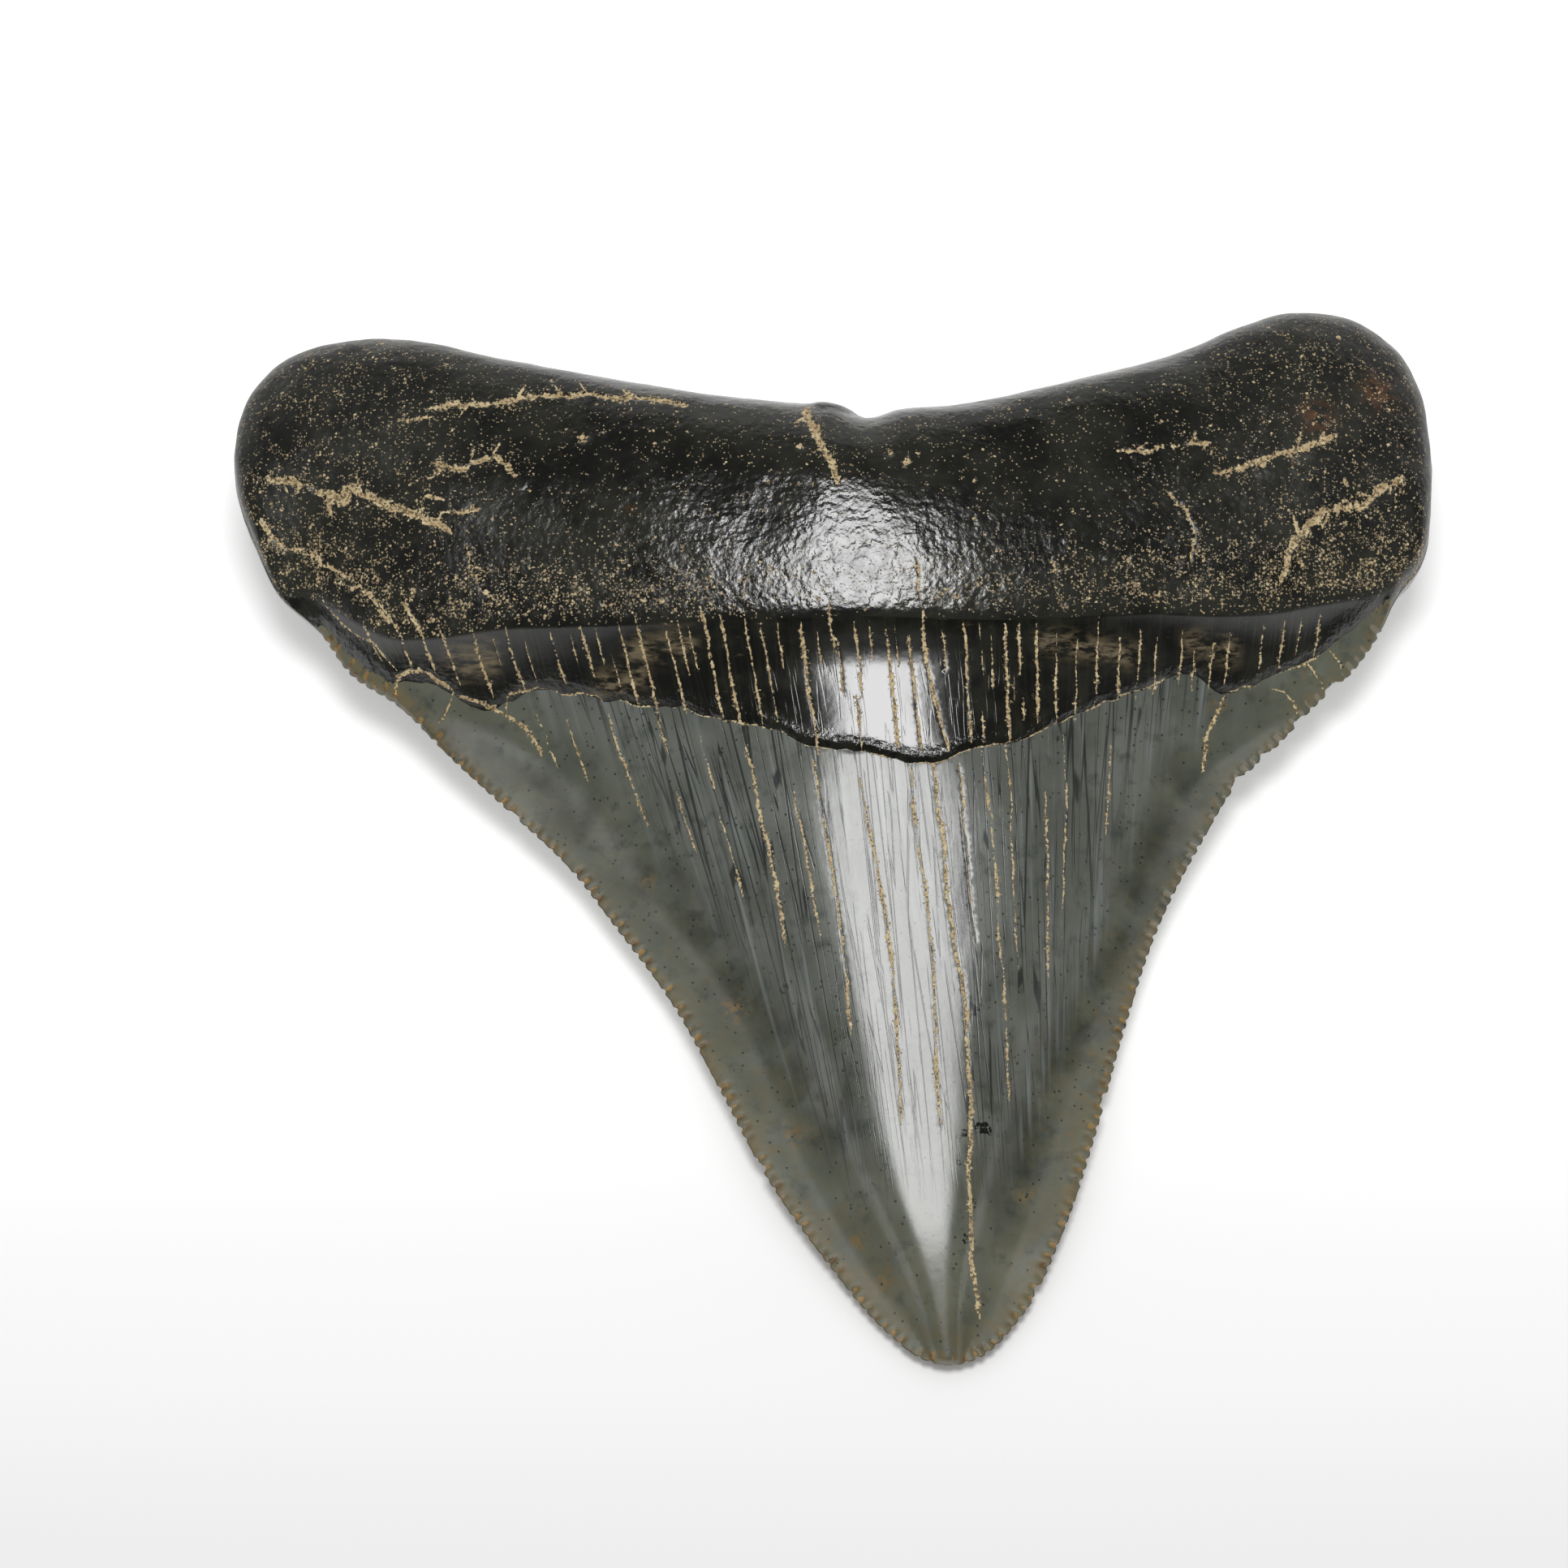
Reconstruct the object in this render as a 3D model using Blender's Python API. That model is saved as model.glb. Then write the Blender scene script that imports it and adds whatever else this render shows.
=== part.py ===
"""A fossil megalodon tooth, lying on its labial face.

Metres, +Z up. +Y runs from the tip of the crown to the root and +X along the root.
The tooth is drawn as a plan outline, and each point of the plan is lifted twice: to the
lingual surface, which faces up, and to the labial surface, which the tooth lies on. Both
surfaces share the outline's own points, so the body is closed.
Heights and plan points are written in millimetres and scaled once, when the mesh is made.
"""

import math

import bpy
import numpy as np
from mathutils import Vector, noise
from mathutils.geometry import delaunay_2d_cdt

MM = 0.001

# Heights over the table
ROOT_PEAK = 17.6  # lingual bulge of the root, at its middle
LOBE_FALL = 0.17  # how steeply the bulge falls along the two lobes
PEAK_ROUND = 1.5  # how softly it turns over at its middle
ROOT_MIDDLE = 2.2  # X of the bulge
ROOT_HALF = 40.0
LIP_HEIGHT = 15.2  # where the root ends over the groove
LIP_DROP = 2.4  # how much lower that lip is at the shoulders, beside the bulge's own fall
FOOT = 0.45  # how far the root's foot runs out over the groove
FOOT_SPREAD = 0.35  # and how much farther for each millimetre of its height
BOURLETTE_STEP = 0.4  # ledge where the bourlette ends over the enamel
RIM = 0.9  # how far that ledge reaches up the bourlette
ENAMEL_STEP = 0.3  # how thick the enamel stands on the labial face

# How far the root's rounding reaches in from each side
BACK_ROUND = 10.0
BACK_BLUNT = 3.0  # 2 would be an ellipse; more is blunter
UNDER_ROUND = 5.0
FRONT_ROUND = 11.0
FRONT_CURVE = 1.6  # how fast the root turns up from the groove

# Lumps of the root: spacing and height
BROAD_LUMPS = (9.0, 0.35)
SMALL_LUMPS = (3.6, 0.07)

# Cutting edge
SERRATION = 0.83  # from crest to crest
NOTCH = 0.2  # from the crests in to the notches
BEVEL = 0.5  # rise of the cutting edge's bevel
BEVEL_REACH = 0.4
MARGIN_DIP = 0.4  # how hollow the blade is behind the bevel
MARGIN_REACH = 5.0

RIDGE_FOOT = 1.6  # how softly the foot of the crown's ridge runs out

# Flat face that the root lies on: centre and half lengths
SEAT = (1.0, 21.7)
SEAT_HALF = (16.0, 2.6)
SEAT_HOLLOW = 0.3  # how fast the root's labial face leaves the table around it
HOLLOW_CURVE = 1.4
LABIAL_CURVE = 2.2  # how late the crown's labial face turns up to its edges
NECK_BLEND = 3.0  # the crown's labial face runs into the root's over this distance each way

# Mesh
EDGE_STEP = 1.6
GRID = 1.9
UNDER_GRID = 2.3
RINGS_OVER = (0.12, 0.5, 1.2, 2.4, 4.2, 6.4)
RINGS_UNDER = (0.3, 1.2, 2.8, 5.0)
FOOT_ROW = 0.6  # a second row of points in front of the root's lip
OFF_GROOVE = 0.75  # the bourlette's rows stop this far from the groove

# Plan outline, anticlockwise from the tip of the crown
RIGHT_EDGE = [
    (7.7, -39.0), (9.5, -38.6), (12.7, -35.5), (15.6, -29.6), (18.0, -22.4), (20.2, -14.5),
    (23.0, -6.2), (26.0, -0.3), (28.7, 4.1), (31.4, 6.7), (34.4, 9.9), (36.6, 11.9),
    (37.9, 13.5), (39.1, 15.4),
]
BACK_OF_ROOT = [
    (40.2, 17.6), (42.0, 19.9), (42.8, 24.0), (42.9, 28.6), (42.5, 32.4), (41.0, 36.2),
    (38.0, 38.7), (33.2, 39.2), (29.4, 37.8), (24.8, 35.4), (18.8, 33.1), (13.3, 31.3),
    (8.2, 30.0), (4.2, 29.5), (2.4, 28.9), (0.8, 29.7), (-3.3, 30.3), (-10.7, 31.6),
    (-16.4, 33.1), (-23.6, 35.0), (-30.7, 37.0), (-35.3, 37.1), (-39.4, 35.7), (-42.0, 32.4),
    (-42.8, 28.0), (-42.3, 24.3), (-41.0, 21.0), (-39.4, 17.9),
]
LEFT_EDGE = [
    (-36.6, 15.4), (-34.0, 11.9), (-30.9, 9.8), (-26.8, 5.7), (-23.0, 2.1), (-18.6, -2.2),
    (-15.1, -6.9), (-11.2, -12.5), (-8.0, -18.6), (-4.3, -25.9), (0.0, -32.2),
    (3.6, -36.6), (5.9, -38.5),
]

# Groove between the root and the crown, from the left shoulder to the right one
GROOVE = [
    (-38.6, 17.6), (-36.4, 16.8), (-34.3, 15.0), (-31.6, 13.0), (-28.5, 12.4), (-23.2, 12.4),
    (-17.5, 12.0), (-10.0, 11.6), (1.8, 11.4), (12.6, 11.6), (18.3, 12.4), (22.7, 13.1),
    (27.1, 13.4), (31.6, 14.3), (34.7, 15.4), (39.4, 17.0),
]
# Lower edge of the bourlette
BOURLETTE = [
    (-36.4, 15.6), (-33.6, 12.6), (-31.5, 11.0), (-28.5, 10.6), (-24.5, 9.0), (-20.8, 9.6),
    (-18.0, 9.0), (-14.3, 7.9), (-10.2, 6.8), (-7.5, 5.6), (-4.5, 4.6), (-1.6, 3.1),
    (2.3, 2.4), (7.0, 1.7), (9.8, 2.9), (12.8, 3.8), (15.7, 5.7), (18.3, 7.2),
    (21.6, 8.8), (25.1, 10.3), (27.6, 9.6), (30.6, 10.9), (34.8, 13.2), (37.2, 15.1),
    (39.4, 16.9),
]

# Upper edge of the enamel on the labial face
NECK = [
    (-39, 17.0), (-34, 14.2), (-28, 13.4), (-18, 14.6), (-8, 15.8), (2, 16.0), (12, 15.7),
    (22, 14.6), (31, 13.8), (36, 14.8), (40, 17.0),
]

# Cracks that opened as the tooth mineralised
CRACKS = [
    [(6.9, 1.4), (7.6, -4.0), (8.3, -10.7), (9.1, -16.0), (9.4, -24.0), (9.3, -31.8), (9.9, -35.7)],
    [(5.4, 1.4), (6.0, -5.0), (6.9, -12.0), (7.0, -20.0), (7.4, -23.7)],
    [(1.9, 0.4), (3.4, -7.6), (4.2, -15.2), (4.6, -23.1)],
    [(-1.4, 2.0), (-0.4, -4.0), (0.7, -11.6), (1.2, -17.2)],
    [(-6.1, 3.6), (-5.1, -1.5), (-3.4, -10.2)],
    [(-9.2, 4.9), (-7.6, -1.6), (-5.9, -7.6)],
    [(10.3, 2.6), (11.3, -8.2), (12.1, -20.8)],
    [(-1.7, 27.2), (-1.2, 25.3), (-0.9, 23.5), (0.4, 20.7)],
    [(-28.7, 29.2), (-20.9, 29.9), (-15.0, 29.0), (-10.3, 28.2)],
    [(-40.1, 25.2), (-37.1, 24.2), (-31.4, 21.8), (-26.9, 19.2)],
    [(-28.3, 24.8), (-26.0, 23.8), (-23.8, 24.8), (-22.3, 22.9)],
    [(-40.4, 22.4), (-38.2, 20.5), (-33.8, 17.8)],
    [(27.1, 23.4), (30.4, 24.7), (35.8, 27.2)],
    [(40.0, 24.6), (37.2, 22.2), (34.5, 21.5), (32.8, 19.1), (31.9, 17.4)],
    [(20.1, 24.6), (22.4, 24.3), (26.7, 25.8)],
]
CRACK_WIDTH = 0.5
CRACK_DEPTH = 0.35

# Along the crown, by Y: height of the cutting edge, and of the ridge between the two edges
EDGE_HEIGHT = [
    (-39, 1.0), (-35, 1.1), (-30, 1.5), (-22, 2.0), (-14, 2.5), (-6, 3.1), (0, 3.7),
    (5, 4.4), (10, 5.2), (15, 6.0), (20, 7.6), (25, 8.5), (30, 8.9), (38, 8.6),
]
RIDGE_HEIGHT = [
    (-39, 1.7), (-37, 2.4), (-32, 4.0), (-24, 5.7), (-16, 7.65), (-12, 8.6), (-7.5, 9.6),
    (1.5, 11.6), (3.3, 12.05), (5, 12.5), (7, 13.03), (8.3, 13.38), (9.2, 13.7), (10.2, 14.1),
    (11.4, 14.5), (20, 14.5),
]
# Along the crown, by Y: how broad the ridge's top is
RIDGE_TOP = [(-39, 2.6), (-28, 3.4), (-16, 3.7), (-6, 3.6), (0, 3.2), (3, 2.6), (6, 2.3), (12, 2.2)]
# Along the crown, by Y: X of the ridge, and how far its two flanks reach
RIDGE_LINE = [(-39, 7.7), (-32, 7.2), (-24, 6.3), (-16, 5.3), (-8, 4.6), (1, 4.2), (12, 2.5)]
LEFT_FLANK = [
    (-39, 1.0), (-33.4, 2.9), (-28.8, 4.8), (-24, 6.5), (-18, 8.2), (-14, 9.7),
    (-11, 11.4), (-8.8, 13.0), (-5.5, 15.6), (-1.3, 18.3), (2.3, 20.8), (5.3, 23.6),
    (8, 27.5), (11.4, 33.0), (15, 36.0),
]
RIGHT_FLANK = [
    (-39, 1.0), (-33, 3.2), (-28.8, 5.3), (-24, 7.6), (-18, 10.4), (-14, 12.4),
    (-8.8, 15.0), (-5.5, 16.3), (-1.3, 18.0), (2.3, 20.0), (5.3, 23.4), (8, 28.0),
    (11.4, 33.5), (15, 36.0),
]
# Along the crown, by Y: height of the labial face's middle, and how far its edges lift
LABIAL_MIDDLE = [(-39, 0.5), (-35, 0.12), (-30, 0.0), (-24, 0.1), (-12, 0.7), (2, 1.3), (12, 1.1), (16, 0.7)]
LABIAL_ROUND = [(-39, 1.2), (-30, 4.5), (-20, 7.5), (-8, 10.5), (4, 13.0), (16, 14.0)]


def through(table, at):
    """The value, at each place in at, of a smooth curve through (place, value) pairs."""
    place, value = np.array(sorted(table), float).T
    slope = np.gradient(value, place)
    at = np.clip(at, place[0], place[-1])
    i = np.clip(np.searchsorted(place, at) - 1, 0, len(place) - 2)
    step = place[i + 1] - place[i]
    t = (at - place[i]) / step
    start = (1 + 2 * t) * (1 - t) ** 2 * value[i] + t * (1 - t) ** 2 * step * slope[i]
    end = t * t * (3 - 2 * t) * value[i + 1] + t * t * (t - 1) * step * slope[i + 1]
    return start + end


def ramp(low, high, at):
    """0 below low, 1 above high and a smooth rise between them."""
    t = np.clip((at - low) / (high - low), 0, 1)
    return t * t * (3 - 2 * t)


def closed_curve(points):
    """Curve functions x(s) and y(s) of a closed outline, and its length along the chords."""
    p = np.array(points + points[:1], float)
    s = np.concatenate([[0], np.cumsum(np.hypot(*np.diff(p, axis=0).T))])
    turn = np.concatenate([s[-4:-1] - s[-1], s, s[1:4] + s[-1]])
    loop = np.concatenate([p[-4:-1], p, p[1:4]])
    return [list(zip(turn, loop[:, axis])) for axis in (0, 1)], s


OUTLINE, CHORDS = closed_curve(RIGHT_EDGE + BACK_OF_ROOT + LEFT_EDGE)
LENGTH = CHORDS[-1]
RIGHT_END = CHORDS[len(RIGHT_EDGE) - 1]
LEFT_END = CHORDS[len(RIGHT_EDGE) + len(BACK_OF_ROOT)]


def on_outline(s, inset=0.0):
    """Points of the outline at the distances s along it, moved in by inset."""
    s = np.asarray(s, float) % LENGTH
    small = 0.05
    here, ahead, behind = (
        np.stack([through(axis, s + move) for axis in OUTLINE], -1) for move in (0, small, -small)
    )
    along = ahead - behind
    along /= np.linalg.norm(along, axis=1, keepdims=True)
    inward = np.stack([-along[:, 1], along[:, 0]], -1)
    return here + inward * np.reshape(inset, (-1, 1))


def distance(points, line):
    """How far each point is from a line of straight pieces."""
    start, end = line[:-1], line[1:]
    piece = end - start
    from_start = points[:, None] - start
    t = (from_start * piece).sum(2) / (piece**2).sum(1)
    nearest = from_start - np.clip(t, 0, 1)[..., None] * piece
    return np.sqrt((nearest**2).sum(2).min(1))


OUTLINE_LINE = on_outline(np.linspace(0, LENGTH, 361))
GROOVE_X = np.linspace(GROOVE[0][0], GROOVE[-1][0], 120)
GROOVE_LINE = np.stack([GROOVE_X, through(GROOVE, GROOVE_X)], -1)


def lumps(points, size, seed):
    """Soft lumps of about the given size, between -1 and 1."""
    return np.array([noise.noise(Vector((x / size, y / size, seed))) for x, y in points])


def crown_height(points, inset):
    """Height of the blade, of the ridge between its edges and of the bourlette over both."""
    x, y = points.T
    blade = through(EDGE_HEIGHT, y) + BEVEL * (1 - np.exp(-inset / BEVEL_REACH))
    blade -= MARGIN_DIP * (1 - np.exp(-inset / MARGIN_REACH))
    side = x - through(RIDGE_LINE, y)
    flank = np.where(side < 0, through(LEFT_FLANK, y), through(RIGHT_FLANK, y))
    dome = (1 - np.minimum(np.abs(side) / flank, 1) ** through(RIDGE_TOP, y)) ** RIDGE_FOOT
    crown = blade + (through(RIDGE_HEIGHT, y) - blade) * dome
    return crown + BOURLETTE_STEP * ramp(0, RIM, y - through(BOURLETTE, x)) * ramp(0, RIM, inset)


def root_height(points, inset, beyond):
    """Height of the root's bulge, which drops to its own outline and to its lip."""
    x, y = points.T
    fall = np.hypot(PEAK_ROUND, LOBE_FALL * (x - ROOT_MIDDLE)) - PEAK_ROUND
    peak = ROOT_PEAK - fall
    lip = LIP_HEIGHT - fall - LIP_DROP * np.minimum(np.abs(x - ROOT_MIDDLE) / ROOT_HALF, 1) ** 4
    to_lip = (1 - np.clip(beyond / FRONT_ROUND, 0, 1)) ** FRONT_CURVE
    off_side = 1 - np.clip(inset / BACK_ROUND, 0, 1)
    to_side = 1 - (1 - off_side**BACK_BLUNT) ** (1 / BACK_BLUNT)
    drops = ((peak - lip) * to_lip) ** 3 + ((peak - through(EDGE_HEIGHT, y)) * to_side) ** 3
    root = peak - np.cbrt(drops)
    for seed, (size, rise) in enumerate([BROAD_LUMPS, SMALL_LUMPS], 1):
        root += rise * lumps(points, size, seed) * (1 - to_lip) * (1 - to_side)
    return root


def lingual(points):
    """Height of the upper surface: root, groove, bourlette and enamel."""
    x, y = points.T
    inset = distance(points, OUTLINE_LINE)
    beyond = distance(points, GROOVE_LINE) * np.where(y > through(GROOVE, x), 1, -1)
    beyond = np.where((x < GROOVE[0][0]) | (x > GROOVE[-1][0]), np.abs(beyond), beyond)
    step = np.interp(x, GROOVE_X, LIP_STEP)
    foot = step * np.exp(np.minimum(beyond, 0) / (FOOT + FOOT_SPREAD * step))
    crown = crown_height(points, inset) + foot
    tooth = np.where(beyond < 0, crown, root_height(points, inset, beyond))
    edge = through(EDGE_HEIGHT, y)
    return edge + (tooth - edge) * ramp(0, 0.12, inset)


GROOVE_INSET = distance(GROOVE_LINE, OUTLINE_LINE)
LIP_STEP = np.maximum(
    root_height(GROOVE_LINE, GROOVE_INSET, 0 * GROOVE_X) - crown_height(GROOVE_LINE, GROOVE_INSET), 0
)


def labial(points):
    """Height of the lower surface, which the tooth lies on."""
    x, y = points.T
    inset = distance(points, OUTLINE_LINE)
    edge = through(EDGE_HEIGHT, y)

    middle = through(LABIAL_MIDDLE, y)
    rise = 1 - np.minimum(inset / through(LABIAL_ROUND, y), 1)
    crown = middle + (edge - middle) * rise**LABIAL_CURVE

    from_side = np.clip(inset / UNDER_ROUND, 0, 1)
    off_seat = np.hypot((x - SEAT[0]) / SEAT_HALF[0], (y - SEAT[1]) / SEAT_HALF[1])
    hollow = SEAT_HOLLOW * np.maximum(off_seat - 1, 0) ** HOLLOW_CURVE
    under = hollow + (edge - hollow) * (1 - np.sqrt(1 - (1 - from_side) ** 2))
    past_neck = y - through(NECK, x)
    enamel = ENAMEL_STEP * (1 - ramp(-ENAMEL_STEP, ENAMEL_STEP, past_neck)) * from_side
    return np.maximum(crown + (under - crown) * ramp(-NECK_BLEND, NECK_BLEND, past_neck) - enamel, 0)


def grid(step, keep_off):
    """Points in staggered rows over the plan, clear of the outline."""
    rows = np.arange(-40, 40, step * math.sqrt(3) / 2)
    points = [(x + step / 2 * (i % 2), y) for i, y in enumerate(rows) for x in np.arange(-44, 44, step)]
    return clear_of_outline(np.array(points), keep_off)


def inside(points, line):
    """Which points are inside a closed line."""
    x, y = points.T[:, :, None]
    (x0, y0), (x1, y1) = line[:-1].T, line[1:].T
    spans = (y0 > y) != (y1 > y)
    with np.errstate(divide="ignore", invalid="ignore"):
        left_of = x < (x1 - x0) * (y - y0) / (y1 - y0) + x0
    return (spans & left_of).sum(1) % 2 == 1


def clear_of_outline(points, keep_off):
    """The points that are inside and at least keep_off from the outline."""
    return points[inside(points, OUTLINE_LINE) & (distance(points, OUTLINE_LINE) >= keep_off)]


def boundary():
    """Points round the plan: serrated along the cutting edges, plain round the root."""
    cutting = LENGTH - LEFT_END + RIGHT_END
    teeth = round(cutting / SERRATION)
    crests = LEFT_END + cutting * np.arange(teeth + 1) / teeth
    notches = (crests[:-1] + crests[1:]) / 2
    edge = np.empty((2 * teeth + 1, 2))
    edge[0::2] = on_outline(crests, -NOTCH / 2)
    edge[1::2] = on_outline(notches, NOTCH / 2)
    plain = round((LEFT_END - RIGHT_END) / EDGE_STEP)
    root_s = np.linspace(RIGHT_END, LEFT_END, plain + 1)[1:-1]
    return np.concatenate([edge, on_outline(root_s)]), crests, root_s


def apart(points, others, least):
    """The points that are at least that far from all the others."""
    if not len(others):
        return points
    gap = np.sqrt(((points[:, None] - others) ** 2).sum(2).min(1))
    return points[gap >= least]


def ring_points(rings, crests, root_s):
    """Points on insets of the outline, close together only where the surface turns fast."""
    found = [on_outline(crests[1:-1], 0.42), on_outline(crests[1:-1:2], 1.3)]
    found += [clear_of_outline(on_outline(root_s, ring), ring * 0.97) for ring in rings]
    return found


def track(line, step):
    """Points at about equal steps along a line of straight pieces."""
    p = np.array(line, float)
    along = np.concatenate([[0], np.cumsum(np.hypot(*np.diff(p, axis=0).T))])
    at = np.linspace(0, along[-1], max(round(along[-1] / step), 2) + 1)
    return np.stack([np.interp(at, along, axis) for axis in p.T], -1)


def crease(line, shift, step, off_groove=0.0):
    """A line across the tooth, moved along Y by shift: its points and the edges between them."""
    ends = line[0][0] + 0.8, line[-1][0] - 0.8
    x = np.linspace(*ends, round((ends[1] - ends[0]) / step))
    points = clear_of_outline(np.stack([x, through(line, x) + shift], -1), 0.7)
    points = points[distance(points, GROOVE_LINE) >= off_groove]
    return points, [(i, i + 1) for i in range(len(points) - 1)], np.zeros(len(points))


def crack(line):
    """A V-shaped crack that tapers out at both ends: points, edges and how deep each point is."""
    middle = track(line, 1.4)
    count = len(middle)
    along = np.gradient(middle, axis=0)
    along /= np.linalg.norm(along, axis=1, keepdims=True)
    across = np.stack([-along[:, 1], along[:, 0]], -1) * CRACK_WIDTH / 2
    one, other = middle[1:-1] + across[1:-1], middle[1:-1] - across[1:-1]
    points = np.concatenate([middle, one, other])
    runs = [0, *range(count, 2 * count - 2), count - 1], [0, *range(2 * count - 2, 3 * count - 4), count - 1]
    edges = [(i, i + 1) for i in range(count - 1)]
    edges += [pair for run in runs for pair in zip(run[:-1], run[1:])]
    deep = np.zeros(len(points))
    deep[1 : count - 1] = CRACK_DEPTH
    return points, edges, deep


def joined(features):
    """All features as one set of points, edges and depths."""
    points, edges, deep = np.empty((0, 2)), [], np.empty(0)
    for more_points, more_edges, more_deep in features:
        edges += [(a + len(points), b + len(points)) for a, b in more_edges]
        points = np.concatenate([points, more_points])
        deep = np.concatenate([deep, more_deep])
    return points, edges, deep


def gather(groups, kept, least):
    """All groups of points in one list after kept, where each keeps clear of those before it."""
    for points in groups:
        kept = np.concatenate([kept, apart(points, kept, least)])
    return kept


def lifted(loop, points, edges, height):
    """A sheet over the plan: its points in space and its triangles, the loop's points first."""
    plan = np.concatenate([loop, points])
    ring = [(i, (i + 1) % len(loop)) for i in range(len(loop))]
    lines = ring + [(a + len(loop), b + len(loop)) for a, b in edges]
    _, _, faces, origin, _, _ = delaunay_2d_cdt([Vector(p) for p in plan], lines, [], 0, 1e-7, True)
    faces = np.array([o[0] for o in origin])[np.array(faces)]
    # The triangulation fills the outline's hollows too, and those faces go.
    faces = faces[inside(plan[faces].mean(1), np.concatenate([loop, loop[:1]]))]
    return np.column_stack([plan, height(plan)]), faces


def tooth_mesh():
    """The closed mesh of the tooth."""
    loop, crests, root_s = boundary()
    creases = [crease(GROOVE, shift, 1.5) for shift in (0.0, -FOOT_ROW)]
    rims = [crease(BOURLETTE, shift, 1.6, OFF_GROOVE) for shift in (0.0, RIM)]
    points, edges, deep = joined(creases + rims + [crack(line) for line in CRACKS])
    over = gather(ring_points(RINGS_OVER, crests, root_s) + [grid(GRID, 1.9)], points, 0.5)
    seat_turn = np.linspace(0, 2 * math.pi, 40, endpoint=False)
    seat = np.stack([np.cos(seat_turn), np.sin(seat_turn)], -1) * SEAT_HALF + SEAT
    necks = [crease(NECK, shift, 1.6) for shift in (-ENAMEL_STEP, ENAMEL_STEP)]
    points_under, edges_under, _ = joined(necks)
    rest = [seat, *ring_points(RINGS_UNDER, crests, root_s), grid(UNDER_GRID, 1.9)]
    under = gather(rest, points_under, 0.33)

    top, faces_over = lifted(loop, over, edges, lingual)
    top[: len(loop), 2] = through(EDGE_HEIGHT, loop[:, 1])
    top[len(loop) : len(loop) + len(deep), 2] -= deep
    bottom, faces_under = lifted(loop, under, edges_under, labial)
    shift = len(top) - len(loop)
    faces_under = np.where(faces_under < len(loop), faces_under, faces_under + shift)[:, ::-1]
    places = np.concatenate([top, bottom[len(loop) :]])
    low, high = places.min(0), places.max(0)
    places -= ((low[0] + high[0]) / 2, (low[1] + high[1]) / 2, low[2])

    mesh = bpy.data.meshes.new("tooth")
    mesh.from_pydata(places * MM, [], np.concatenate([faces_over, faces_under]))
    mesh.update()
    return mesh


def fossil():
    """Dark, mineral-stained dentine and enamel."""
    material = bpy.data.materials.new("fossil dentine and enameloid")
    material.use_nodes = True
    shader = material.node_tree.nodes["Principled BSDF"]
    shader.inputs["Base Color"].default_value = (0.06, 0.065, 0.062, 1)
    shader.inputs["Roughness"].default_value = 0.35
    shader.inputs["Metallic"].default_value = 0.0
    return material


def main():
    for old in list(bpy.data.objects):
        bpy.data.objects.remove(old)
    mesh = tooth_mesh()
    mesh.materials.append(fossil())
    mesh.shade_smooth()
    mesh.set_sharp_from_angle(angle=math.radians(50))
    bpy.context.scene.collection.objects.link(bpy.data.objects.new("tooth", mesh))


main()
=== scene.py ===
# %% [markdown]
# # A fossil megalodon tooth
# The real thing is one piece of mineralised tooth, about 86 mm wide. It has a thick root of
# black dentine, a glossy dark band called the bourlette, and a blade of grey-green enameloid
# with two serrated edges. Dried silt sits in its cracks and pits.
# It could be sculpted, but the lesson shows another way: draw the plan of the tooth, lift
# each point of that plan to a height that a few curves give, and then push the fine relief
# along the surface. The same curves say where each finish begins.

import math
import random

import bpy
import numpy as np
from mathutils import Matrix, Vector, kdtree, noise
from mathutils.geometry import delaunay_2d_cdt


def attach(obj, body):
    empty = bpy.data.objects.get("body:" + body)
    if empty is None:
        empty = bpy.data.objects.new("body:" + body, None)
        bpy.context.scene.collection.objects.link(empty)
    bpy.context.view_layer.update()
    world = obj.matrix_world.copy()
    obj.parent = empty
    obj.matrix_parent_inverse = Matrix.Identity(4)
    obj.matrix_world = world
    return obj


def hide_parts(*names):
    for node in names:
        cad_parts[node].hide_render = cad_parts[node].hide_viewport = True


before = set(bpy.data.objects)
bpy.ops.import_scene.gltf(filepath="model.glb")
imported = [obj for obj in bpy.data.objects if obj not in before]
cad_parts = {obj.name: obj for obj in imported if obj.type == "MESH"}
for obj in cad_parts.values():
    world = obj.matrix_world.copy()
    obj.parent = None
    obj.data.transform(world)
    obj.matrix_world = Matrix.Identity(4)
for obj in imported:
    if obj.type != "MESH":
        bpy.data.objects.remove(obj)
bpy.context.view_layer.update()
MM = 0.001

# %% [markdown]
# ## Curves through a few measured points
# Every shape here is a short list of (place, value) pairs in millimetres. A smooth curve
# through them could be a Bezier object, but a function that returns numbers is easier to
# use for many thousand points at once.

# %% Smooth curves, ramps and lumps
def through(table, at):
    """The value, at each place in at, of a smooth curve through (place, value) pairs."""
    place, value = np.array(sorted(table), float).T
    slope = np.gradient(value, place)
    at = np.clip(at, place[0], place[-1])
    i = np.clip(np.searchsorted(place, at) - 1, 0, len(place) - 2)
    step = place[i + 1] - place[i]
    t = (at - place[i]) / step
    start = (1 + 2 * t) * (1 - t) ** 2 * value[i] + t * (1 - t) ** 2 * step * slope[i]
    end = t * t * (3 - 2 * t) * value[i + 1] + t * t * (t - 1) * step * slope[i + 1]
    return start + end


def ramp(low, high, at):
    """0 below low, 1 above high and a smooth rise between them."""
    t = np.clip((at - low) / (high - low), 0, 1)
    return t * t * (3 - 2 * t)


def lumps(places, size, seed):
    """Soft lumps of about the given size, between -1 and 1, in plan or in space."""
    size = np.broadcast_to(np.asarray(size, float), places.shape[1])
    scaled = np.zeros((len(places), 3))
    scaled[:, : places.shape[1]] = places / size
    scaled += (0.0, 0.0, seed) if places.shape[1] == 2 else (seed * 7.3, seed * 3.1, seed)
    return np.array([noise.noise(Vector(p)) for p in scaled])


print("halfway up a ramp:", ramp(0, 2, np.array([1.0]))[0])

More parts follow.
